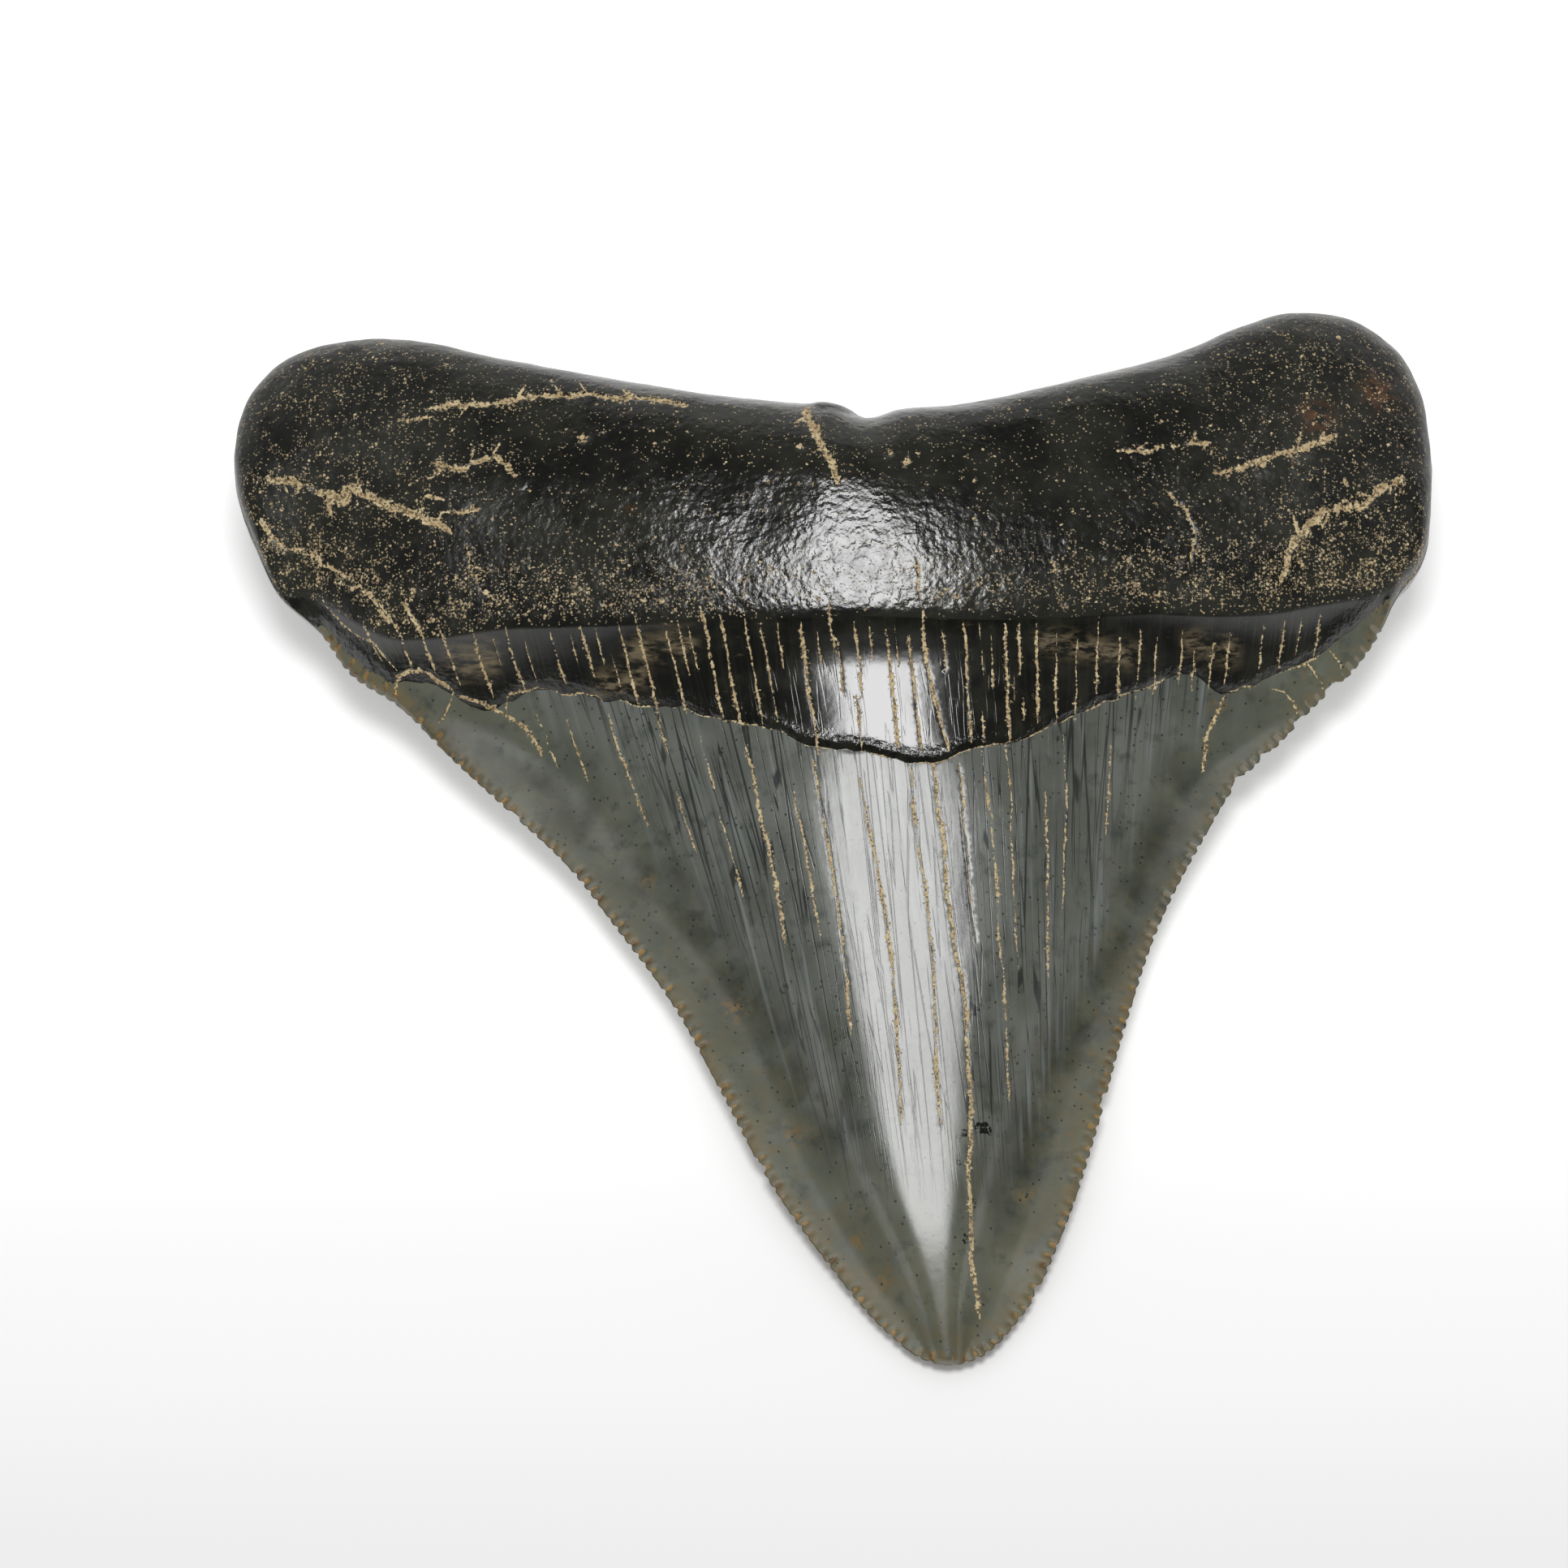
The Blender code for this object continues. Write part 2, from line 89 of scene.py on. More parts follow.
# %% [markdown]
# ## The plan of the tooth
# Seen from above, the outline runs from the tip up one cutting edge, round the root and
# down the other edge. It is a closed curve through points, and a place on it is given as
# a distance along it.

# %% Outline
RIGHT_EDGE = [
    (7.7, -39.0), (9.5, -38.6), (12.7, -35.5), (15.6, -29.6), (18.0, -22.4), (20.2, -14.5),
    (23.0, -6.2), (26.0, -0.3), (28.7, 4.1), (31.4, 6.7), (34.4, 9.9), (36.6, 11.9),
    (37.9, 13.5), (39.1, 15.4),
]
BACK_OF_ROOT = [
    (40.2, 17.6), (42.0, 19.9), (42.8, 24.0), (42.9, 28.6), (42.5, 32.4), (41.0, 36.2),
    (38.0, 38.7), (33.2, 39.2), (29.4, 37.8), (24.8, 35.4), (18.8, 33.1), (13.3, 31.3),
    (8.2, 30.0), (4.2, 29.5), (2.4, 28.9), (0.8, 29.7), (-3.3, 30.3), (-10.7, 31.6),
    (-16.4, 33.1), (-23.6, 35.0), (-30.7, 37.0), (-35.3, 37.1), (-39.4, 35.7), (-42.0, 32.4),
    (-42.8, 28.0), (-42.3, 24.3), (-41.0, 21.0), (-39.4, 17.9),
]
LEFT_EDGE = [
    (-36.6, 15.4), (-34.0, 11.9), (-30.9, 9.8), (-26.8, 5.7), (-23.0, 2.1), (-18.6, -2.2),
    (-15.1, -6.9), (-11.2, -12.5), (-8.0, -18.6), (-4.3, -25.9), (0.0, -32.2),
    (3.6, -36.6), (5.9, -38.5),
]


def closed_curve(points):
    """Curve tables x(s) and y(s) of a closed outline, and the distance s of each point."""
    p = np.array(points + points[:1], float)
    s = np.concatenate([[0], np.cumsum(np.hypot(*np.diff(p, axis=0).T))])
    turn = np.concatenate([s[-4:-1] - s[-1], s, s[1:4] + s[-1]])
    loop = np.concatenate([p[-4:-1], p, p[1:4]])
    return [list(zip(turn, loop[:, axis])) for axis in (0, 1)], s


OUTLINE, CHORDS = closed_curve(RIGHT_EDGE + BACK_OF_ROOT + LEFT_EDGE)
LENGTH = CHORDS[-1]
RIGHT_END = CHORDS[len(RIGHT_EDGE) - 1]
LEFT_END = CHORDS[len(RIGHT_EDGE) + len(BACK_OF_ROOT)]


def on_outline(s, inset=0.0):
    """Points of the outline at the distances s along it, moved in by inset."""
    s = np.asarray(s, float) % LENGTH
    small = 0.05
    here, ahead, behind = (
        np.stack([through(axis, s + move) for axis in OUTLINE], -1) for move in (0, small, -small)
    )
    along = ahead - behind
    along /= np.linalg.norm(along, axis=1, keepdims=True)
    inward = np.stack([-along[:, 1], along[:, 0]], -1)
    return here + inward * np.reshape(inset, (-1, 1))


print("the outline is", round(LENGTH), "mm long")

# %% [markdown]
# ## How far is it to a line?
# Most of the relief depends on how far a point is from a line: the outline, the groove or
# a crack. Testing every point against every piece of the line is slow, so the line's own
# points go into a k-d tree, which finds the nearest one at once.

# %% Distances
class Line:
    """A line of closely spaced plan points that can be asked how near it is."""

    def __init__(self, points):
        self.points = np.asarray(points, float)
        self.tree = kdtree.KDTree(len(points))
        for i, (x, y) in enumerate(self.points):
            self.tree.insert((x, y, 0), i)
        self.tree.balance()

    def near(self, places):
        """For each place: its distance, positive on the left, and the nearest index."""
        index = np.array([self.tree.find((x, y, 0))[1] for x, y in places])
        best = np.full(len(places), 1e9)
        side = np.ones(len(places))
        for first in (index - 1, index):
            a = self.points[np.clip(first, 0, len(self.points) - 2)]
            b = self.points[np.clip(first, 0, len(self.points) - 2) + 1]
            piece = b - a
            off = places - a
            t = np.clip((off * piece).sum(1) / (piece**2).sum(1), 0, 1)
            gap = off - t[:, None] * piece
            apart = np.linalg.norm(gap, axis=1)
            nearer = apart < best
            turn = piece[:, 0] * off[:, 1] - piece[:, 1] * off[:, 0]
            side = np.where(nearer, np.where(turn < 0, -1.0, 1.0), side)
            best = np.minimum(best, apart)
        return best * side, index


OUTLINE_PIECES = 3600
OUTLINE_LINE = Line(on_outline(np.linspace(0, LENGTH, OUTLINE_PIECES + 1)))
print("the middle of the crown is", OUTLINE_LINE.near(np.array([[4.0, 0.0]]))[0].round(1), "mm in")

# %% [markdown]
# ## The two surfaces
# The lingual surface faces up: a bulging root, a groove, the bourlette and a broad ridge
# between two thin edges. The labial surface is almost flat. A tooth could be lofted from
# sections, but here each surface is a height over the plan, so they meet exactly at the
# outline.

# %% Lines across the tooth
GROOVE = [
    (-38.6, 17.6), (-36.4, 16.8), (-34.3, 15.0), (-31.6, 13.0), (-28.5, 12.4), (-23.2, 12.4),
    (-17.5, 12.0), (-10.0, 11.6), (1.8, 11.4), (12.6, 11.6), (18.3, 12.4), (22.7, 13.1),
    (27.1, 13.4), (31.6, 14.3), (34.7, 15.4), (39.4, 17.0),
]
BOURLETTE = [
    (-36.4, 15.6), (-33.6, 12.6), (-31.5, 11.0), (-28.5, 10.6), (-24.5, 9.0), (-20.8, 9.6),
    (-18.0, 9.0), (-14.3, 7.9), (-10.2, 6.8), (-7.5, 5.6), (-4.5, 4.6), (-1.6, 3.1),
    (2.3, 2.4), (7.0, 1.7), (9.8, 2.9), (12.8, 3.8), (15.7, 5.7), (18.3, 7.2),
    (21.6, 8.8), (25.1, 10.3), (27.6, 9.6), (30.6, 10.9), (34.8, 13.2), (37.2, 15.1),
    (39.4, 16.9),
]
NECK = [
    (-39, 17.0), (-34, 14.2), (-28, 13.4), (-18, 14.6), (-8, 15.8), (2, 16.0), (12, 15.7),
    (22, 14.6), (31, 13.8), (36, 14.8), (40, 17.0),
]


def uneven(table, x, rough):
    """A curve across the tooth with the small unevenness of the real edge."""
    x = np.atleast_1d(x)
    wave = lumps(np.stack([x, x * 0], -1), 1.4, 5.0) + 0.5 * lumps(np.stack([x, x * 0], -1), 0.6, 9.0)
    return through(table, x) + rough * wave


def groove(x):
    return uneven(GROOVE, x, 0.12)


def bourlette(x):
    return uneven(BOURLETTE, x, 0.2)


GROOVE_X = np.linspace(GROOVE[0][0], GROOVE[-1][0], 700)
GROOVE_LINE = Line(np.stack([GROOVE_X, through(GROOVE, GROOVE_X)], -1))
print("the bourlette is", (groove(5.0) - bourlette(5.0)).round(1), "mm deep at its middle")

# %% Heights along the crown
# Each pair is a Y and what the curve has there, in millimetres: the height of the cutting
# edge or of the crest, the X of the crest, or how wide the ridge is on its left or right.
EDGE_HEIGHT = [
    (-39, 1.0), (-35, 1.1), (-30, 1.5), (-22, 2.0), (-14, 2.5), (-6, 3.1), (0, 3.7),
    (5, 4.4), (10, 5.2), (15, 6.0), (20, 7.6), (25, 8.5), (30, 8.9), (38, 8.6),
]
RIDGE_HEIGHT = [
    (-39, 1.7), (-37, 2.4), (-32, 4.0), (-24, 5.7), (-16, 7.65), (-12, 8.6), (-7.5, 9.6),
    (1.5, 11.6), (3.3, 12.05), (5, 12.5), (7, 13.03), (8.3, 13.38), (9.2, 13.7), (10.2, 14.1),
    (11.4, 14.5), (20, 14.5),
]
RIDGE_LINE = [(-39, 7.7), (-32, 6.8), (-24, 5.7), (-16, 4.9), (-8, 4.5), (1, 4.2), (12, 2.5)]
LEFT_FLANK = [
    (-39, 1.0), (-33.4, 2.9), (-28.8, 4.8), (-24, 6.5), (-18, 8.2), (-14, 9.7),
    (-11, 11.4), (-8.8, 13.0), (-5.5, 15.6), (-1.3, 18.3), (2.3, 20.8), (5.3, 23.6),
    (8, 27.5), (11.4, 33.0), (15, 36.0),
]
RIGHT_FLANK = [
    (-39, 1.0), (-33, 3.2), (-28.8, 5.3), (-24, 7.6), (-18, 10.4), (-14, 12.4),
    (-8.8, 15.0), (-5.5, 16.3), (-1.3, 18.0), (2.3, 20.0), (5.3, 23.4), (8, 28.0),
    (11.4, 33.5), (15, 36.0),
]
# The labial face: the height of its middle, and how far in from the edge it is rounded.
LABIAL_MIDDLE = [
    (-39, 0.5), (-35, 0.12), (-30, 0.0), (-24, 0.1), (-12, 0.7), (2, 1.3), (12, 1.1), (16, 0.7),
]
LABIAL_ROUND = [(-39, 1.2), (-30, 4.5), (-20, 7.5), (-8, 10.5), (4, 13.0), (16, 14.0)]
RIDGE_TOP = [  # how flat the crest is: 2 would be round
    (-39, 2.6), (-28, 4.3), (-16, 4.4), (-6, 3.7), (0, 3.2), (3, 2.6), (6, 2.3), (12, 2.2),
]
RIDGE_FOOT = 1.6  # how softly the foot of the ridge runs out
print("heights are given from Y", EDGE_HEIGHT[0][0], "to", EDGE_HEIGHT[-1][0], "mm")

# %% The ridge of the crown
SOFT_STEPS, SOFT_WIDTH = (-3, -2, -1, 0, 1, 2, 3), 0.75  # the foot is averaged over these steps


def dome(places):
    """How much of the crown's ridge stands at each place: 1 on its crest, 0 on the margins."""
    x, y = places.T
    side = x - through(RIDGE_LINE, y)
    flank = np.where(side < 0, through(LEFT_FLANK, y), through(RIGHT_FLANK, y))
    top = through(RIDGE_TOP, y)

    def profile(off):
        return (1 - np.minimum(np.abs(side + off) / flank, 1) ** top) ** RIDGE_FOOT

    weights = np.array([4 - abs(step) for step in SOFT_STEPS]) / 16
    soft = sum(share * profile(step * SOFT_WIDTH) for share, step in zip(weights, SOFT_STEPS))
    inner = ramp(0.3, 3.5, OUTLINE_LINE.near(places)[0])
    return profile(0) + (soft - profile(0)) * inner * ramp(0.9, 0.5, profile(0))


print("the ridge is", round(float(through(RIDGE_HEIGHT, 3.0)), 1), "mm high at the bourlette")

# %% The lingual surface
ROOT_PEAK, ROOT_MIDDLE, ROOT_HALF = 17.6, 2.2, 40.0
LOBE_FALL, PEAK_ROUND = 0.17, 1.5
LIP_HEIGHT, LIP_DROP = 15.2, 2.4
BACK_ROUND, BACK_BLUNT = 10.0, 3.0  # a bluntness of 2 would be an ellipse
FRONT_ROUND, FRONT_CURVE = 11.0, 1.6
ROLL, ROLL_REACH = 0.12, 0.75  # the lip itself is rounded over
SKIRT, SKIRT_SPREAD = 0.45, 0.35  # how far the root's foot runs out, and how much more for a high lip
BOURLETTE_STEP, RIM = 0.2, 0.5
BEVEL, BEVEL_REACH = 0.22, 0.7
MARGIN_DIP, MARGIN_REACH = 0.4, 5.0  # the blade is a little hollow behind its bevel


def crown_height(places, inset):
    """Height of the blade and of the bourlette on it."""
    x, y = places.T
    blade = through(EDGE_HEIGHT, y) + BEVEL * (1 - np.exp(-inset / BEVEL_REACH))
    blade -= MARGIN_DIP * (1 - np.exp(-inset / MARGIN_REACH))
    crown = blade + (through(RIDGE_HEIGHT, y) - blade) * dome(places)
    past = y - bourlette(x) + 0.12 * lumps(places, 1.1, 12.0)
    return crown + BOURLETTE_STEP * ramp(0, RIM, past) * ramp(0, RIM, inset)


def root_height(places, inset, beyond):
    """Height of the root's bulge, which drops to its own outline and to its lip over the groove."""
    x, y = places.T
    fall = np.hypot(PEAK_ROUND, LOBE_FALL * (x - ROOT_MIDDLE)) - PEAK_ROUND
    peak = ROOT_PEAK - fall
    lip = LIP_HEIGHT - fall - LIP_DROP * np.minimum(np.abs(x - ROOT_MIDDLE) / ROOT_HALF, 1) ** 4
    to_lip = (1 - np.clip(beyond / FRONT_ROUND, 0, 1)) ** FRONT_CURVE
    off_side = 1 - np.clip(inset / BACK_ROUND, 0, 1)
    to_side = 1 - (1 - off_side**BACK_BLUNT) ** (1 / BACK_BLUNT)
    drops = ((peak - lip) * to_lip) ** 3 + ((peak - through(EDGE_HEIGHT, y)) * to_side) ** 3
    soft = 0.35 * lumps(places, 9.0, 1.0) + 0.07 * lumps(places, 3.6, 2.0)
    roll = ROLL * (1 - np.clip(beyond / ROLL_REACH, 0, 1)) ** 2
    return peak - np.cbrt(drops) - roll + soft * (1 - to_lip) * (1 - to_side)


groove_inset = np.maximum(OUTLINE_LINE.near(GROOVE_LINE.points)[0], 0)
LIP_STEP = np.maximum(
    root_height(GROOVE_LINE.points, groove_inset, 0 * GROOVE_X)
    - crown_height(GROOVE_LINE.points, groove_inset), 0
)


def lingual(places):
    """Height of the upper surface: root, groove, bourlette and enamel."""
    x, y = places.T
    inset = np.maximum(OUTLINE_LINE.near(places)[0], 0)
    past_groove = GROOVE_LINE.near(places)[0]
    past_end = (x < GROOVE[0][0]) | (x > GROOVE[-1][0])
    beyond = np.where(past_end, np.abs(past_groove), past_groove)
    step = np.interp(x, GROOVE_X, LIP_STEP)
    foot = step * np.exp(np.minimum(beyond, 0) / (SKIRT + SKIRT_SPREAD * step))
    crown = crown_height(places, inset) + foot
    tooth = np.where(beyond < 0, crown, root_height(places, inset, beyond))
    edge = through(EDGE_HEIGHT, y)
    return edge + (tooth - edge) * ramp(0, 0.12, inset)


print("the root's bulge is", lingual(np.array([[1.3, 20.0]])).round(1), "mm high")

# %% The labial surface
UNDER_ROUND = 5.0
SEAT, SEAT_HALF = (1.0, 21.7), (16.0, 2.6)
HOLLOW, HOLLOW_CURVE = 0.3, 1.4  # the root is a little hollow round its seat
CROWN_CURVE = 2.2
ENAMEL_STEP = 0.3


def off_seat(x, y):
    """0 in the middle of the flat face that the tooth rests on, and 1 at its edge."""
    return np.hypot((x - SEAT[0]) / SEAT_HALF[0], (y - SEAT[1]) / SEAT_HALF[1])


def labial(places):
    """Height of the lower surface, which the tooth lies on."""
    x, y = places.T
    inset = OUTLINE_LINE.near(places)[0]
    edge = through(EDGE_HEIGHT, y)
    middle = through(LABIAL_MIDDLE, y)
    rise = 1 - np.minimum(inset / through(LABIAL_ROUND, y), 1)
    crown = middle + (edge - middle) * rise**CROWN_CURVE
    from_side = np.clip(inset / UNDER_ROUND, 0, 1)
    hollow = HOLLOW * np.maximum(off_seat(x, y) - 1, 0) ** HOLLOW_CURVE
    under = hollow + (edge - hollow) * (1 - np.sqrt(1 - (1 - from_side) ** 2))
    past_neck = y - through(NECK, x)
    enamel = ENAMEL_STEP * (1 - ramp(-ENAMEL_STEP, ENAMEL_STEP, past_neck)) * from_side
    return np.maximum(crown + (under - crown) * ramp(-3, 3, past_neck) - enamel, 0)


print("the crown's labial face is", labial(np.array([[5.0, 0.0]])).round(1), "mm off the table")

# %% [markdown]
# ## Cracks
# Enameloid grows in threads that fan out from the tip, and it cracks along them as it
# dries. The cracks could be painted, but light catches the lips of real ones, so they are
# cut into the mesh. Straight ones are given by where they start, how long they are and
# how wide. The fan gives their direction. Crooked ones are given point by point.

# %% The fan of the enameloid
FAN_LEAN = [
    (-36, 0.6), (-25, 0.55), (-20, 0.44), (-12, 0.32), (-6, 0.21), (-1.5, 0.15), (3, 0.1),
    (7, 0.1), (10, 0.06), (14, 0.02), (18, -0.04), (24, -0.1), (30, -0.16), (36, -0.26),
]
FAN_FROM = 6.0  # the Y at which a thread's name is its X


def thread(places):
    """Which thread of the fan passes each place, named by its X at FAN_FROM."""
    x, y = places.T
    down = np.clip(FAN_FROM - y, -12, 34)
    name = x.copy()
    for _ in range(40):
        name = 0.5 * name + 0.5 * (x - through(FAN_LEAN, name) * down)
    return name


def down_the_fan(x, y, length):
    """A crack that starts at (x, y) and follows its thread towards the tip."""
    lean = through(FAN_LEAN, thread(np.array([[x, y]])))[0]
    steps = np.linspace(0, length, max(round(length / 1.5), 2) + 1)
    return [(x + lean * step, y - step) for step in steps]


print("a thread from (-9, 6) passes", down_the_fan(-9.0, 6.0, 10.0)[-1])

# %% Cracks of the bourlette and the crown
THIN, PLAIN, WIDE, OPEN = 0.1, 0.14, 0.19, 0.24
BOURLETTE_CRACKS = [  # X and Y of the top end, length, width
    (-33.1, 14.1, 2.0, THIN), (-32.0, 15.3, 3.7, PLAIN), (-30.1, 14.7, 3.7, WIDE),
    (-27.6, 12.8, 2.5, PLAIN), (-25.3, 12.4, 2.8, WIDE), (-23.8, 12.0, 1.0, THIN),
    (-22.9, 12.4, 2.6, WIDE), (-21.6, 11.8, 1.8, THIN), (-19.9, 12.2, 2.6, WIDE),
    (-18.4, 11.7, 1.2, THIN), (-17.6, 11.9, 3.4, WIDE), (-16.6, 11.8, 1.5, THIN),
    (-15.5, 10.5, 1.9, THIN), (-15.0, 11.9, 4.1, WIDE), (-13.9, 12.2, 5.1, WIDE),
    (-11.7, 11.6, 5.0, WIDE), (-10.9, 11.7, 2.9, PLAIN), (-10.1, 11.4, 2.4, THIN),
    (-9.2, 12.3, 6.5, OPEN), (-7.9, 11.8, 6.8, WIDE), (-6.2, 11.7, 6.8, PLAIN),
    (-5.0, 11.2, 6.3, PLAIN), (-3.9, 11.2, 2.8, PLAIN), (-2.3, 11.1, 8.5, OPEN),
    (-1.1, 10.6, 2.2, THIN), (-0.3, 12.5, 3.2, PLAIN), (0.3, 9.9, 3.6, PLAIN),
    (1.5, 11.1, 4.9, WIDE), (1.6, 6.2, 3.7, WIDE), (2.5, 11.1, 2.3, THIN),
    (3.7, 10.9, 8.4, OPEN), (4.3, 10.9, 2.5, THIN), (5.3, 10.2, 7.8, WIDE),
    (7.6, 10.7, 2.9, THIN), (9.1, 11.3, 8.1, WIDE), (10.2, 11.2, 0.9, THIN),
    (10.4, 9.6, 1.6, THIN), (11.0, 11.1, 3.8, PLAIN), (10.4, 5.4, 2.0, PLAIN),
    (12.0, 11.3, 7.6, OPEN), (13.0, 11.4, 3.1, WIDE), (12.6, 8.2, 1.6, THIN),
    (13.3, 6.8, 1.5, THIN), (14.2, 11.5, 6.2, WIDE), (15.6, 11.1, 5.5, PLAIN),
    (17.1, 11.0, 4.8, PLAIN), (18.6, 12.4, 5.1, PLAIN), (20.1, 11.4, 3.4, PLAIN),
    (21.6, 12.1, 3.8, PLAIN), (22.8, 11.9, 3.0, THIN), (24.6, 12.4, 2.7, PLAIN),
    (25.5, 11.7, 2.2, THIN), (26.8, 12.1, 2.4, THIN), (28.0, 12.7, 3.0, PLAIN),
    (30.4, 13.4, 2.4, PLAIN), (31.9, 14.0, 2.4, PLAIN), (33.1, 14.4, 1.9, THIN),
    (34.5, 14.9, 2.3, PLAIN),
]
CROWN_CRACKS = [
    (-20.8, 8.3, 3.1, PLAIN), (-18.7, 7.7, 3.7, PLAIN), (-15.7, 7.4, 7.1, PLAIN),
    (-12.3, 6.8, 2.4, THIN), (-11.0, 1.8, 4.3, THIN), (-2.7, -0.1, 10.0, PLAIN),
    (8.7, 1.9, 13.0, THIN), (14.8, 0.5, 12.5, PLAIN), (19.5, 5.0, 6.0, THIN),
]
print(len(BOURLETTE_CRACKS), "cracks cross the bourlette")

# %% Crooked cracks
LONG_CRACKS = [  # width, share that silt fills, then the points
    (0.27, 0.9, [(6.9, 1.7), (7.1, -0.2), (7.6, -4.0), (7.8, -7.5), (8.3, -10.7), (8.8, -13.2),
                (9.1, -16.0), (9.3, -19.5), (9.4, -24.0), (9.1, -26.5), (9.3, -28.5),
                (9.3, -31.8), (9.6, -33.3), (9.9, -35.7)]),
    (0.21, 0.7, [(5.4, 1.4), (5.6, -1.7), (6.0, -5.0), (6.5, -8.3), (6.8, -11.9), (7.0, -16.1),
                (7.0, -20.0), (7.4, -23.7)]),
    (0.22, 0.8, [(1.9, 0.4), (2.9, -5.0), (3.4, -7.6), (3.9, -10.8), (4.2, -15.2), (4.5, -19.6),
                (4.6, -23.1)]),
    (0.17, 0.7, [(-1.4, 2.0), (-0.4, -4.0), (0.3, -8.2), (0.7, -11.6), (1.2, -17.2)]),
    (0.19, 0.9, [(-6.1, 3.6), (-5.6, 1.3), (-5.1, -1.5), (-4.3, -4.3), (-3.9, -6.8), (-3.4, -10.2)]),
    (0.14, 0.4, [(-9.2, 4.9), (-8.3, 1.0), (-7.2, -3.1), (-6.3, -6.1), (-5.9, -7.6)]),
    (0.17, 0.6, [(10.3, 2.6), (11.0, -2.1), (11.3, -8.2), (11.7, -13.3), (12.1, -20.8)]),
    (0.14, 0.6, [(12.0, 3.5), (12.4, -0.5), (12.3, -3.6), (12.5, -7.8), (12.7, -12.2)]),
    (0.14, 0.5, [(16.0, 4.9), (16.4, 0.2), (16.0, -3.4), (15.9, -9.1)]),
    (0.24, 0.9, [(5.9, 15.3), (6.0, 13.3), (6.3, 10.8), (6.5, 8.5), (7.0, 6.6), (7.5, 4.5),
                 (8.0, 2.5)]),
    (0.2, 1.0, [(27.6, 9.4), (27.4, 8.8), (27.0, 8.0), (26.4, 7.0), (26.3, 6.0), (26.1, 4.8)]),
]
SHOULDER_CRACKS = [
    (0.17, 1.0, [(-31.0, 10.1), (-30.7, 11.1), (-29.8, 11.2), (-28.3, 10.9), (-26.8, 10.1)]),
    (0.12, 1.0, [(-26.8, 10.1), (-27.3, 8.9), (-27.9, 8.0)]),
    (0.17, 1.0, [(-26.5, 9.9), (-23.9, 9.1), (-21.7, 7.7), (-20.5, 6.0)]),
    (0.13, 1.0, [(-23.0, 9.0), (-22.9, 9.6), (-21.6, 9.6), (-20.8, 9.7)]),
    (0.14, 0.5, [(-36.3, 16.6), (-34.6, 14.8), (-32.6, 13.0), (-30.8, 11.3)]),
    (0.16, 0.8, [(31.2, 10.4), (32.0, 10.3), (32.6, 9.9), (32.9, 9.1)]),
    (0.16, 0.8, [(33.8, 12.1), (34.4, 11.5), (34.8, 11.0), (34.9, 10.4)]),
    (0.16, 0.7, [(35.0, 13.6), (35.9, 12.9), (36.3, 12.2)]),
]
ROOT_CRACKS = [
    (0.36, 0.8, [(-28.7, 29.2), (-25.4, 29.3), (-20.9, 29.9), (-16.9, 29.5), (-12.1, 28.6),
                 (-10.3, 28.2)]),
    (0.25, 0.6, [(-30.8, 28.2), (-28.3, 28.5)]),
    (0.46, 0.95, [(-40.1, 25.2), (-37.1, 24.2), (-34.7, 22.6), (-34.1, 23.5), (-31.4, 21.8),
                  (-29.0, 20.6), (-26.9, 19.2)]),
    (0.3, 0.8, [(-28.7, 22.0), (-27.4, 21.5)]),
    (0.3, 0.8, [(-27.6, 20.7), (-24.9, 20.6)]),
    (0.38, 0.9, [(-28.3, 24.6), (-26.0, 23.8), (-23.8, 24.8), (-22.3, 22.9)]),
    (0.24, 0.5, [(-25.8, 18.0), (-25.5, 16.6), (-24.9, 15.6), (-23.8, 14.1)]),
    (0.28, 0.6, [(-40.9, 22.4), (-38.8, 20.3), (-36.9, 19.8), (-33.8, 17.2), (-31.2, 13.9)]),
    (0.45, 1.0, [(-1.7, 28.0), (-1.6, 26.6), (-1.2, 25.3), (-0.9, 23.5), (-0.1, 22.2), (0.4, 20.7)]),
    (0.28, 0.8, [(20.1, 24.6), (22.4, 24.5), (23.3, 25.1)]),
    (0.3, 0.9, [(24.0, 25.1), (26.7, 25.8)]),
    (0.35, 0.9, [(27.1, 23.4), (30.4, 24.7), (33.6, 26.2), (35.8, 27.2)]),
    (0.42, 0.9, [(40.6, 24.9), (37.2, 22.2), (34.5, 21.5), (32.8, 19.1), (31.6, 16.3)]),
    (0.26, 0.6, [(23.4, 21.6), (24.8, 20.3), (25.4, 18.7), (25.2, 16.8)]),
]
print(len(ROOT_CRACKS), "crooked cracks cross the root")

# %% [markdown]
# The middle line of a crack sways, its width changes in beads, and silt fills only part of
# it. A random number for each place would jump, so all of these come from smooth lumps
# along the crack. The numbers that make a crack of the root wilder than one of the
# enameloid come from one value, wild.

# %% A crack
CRACK_STEP = 0.1  # distance between two places of a crack's middle line
CRACK_FLUSH, CRACK_DEEPER, DEEP_FROM = 0.008, 0.22, 0.24  # only cracks wider than DEEP_FROM are deep


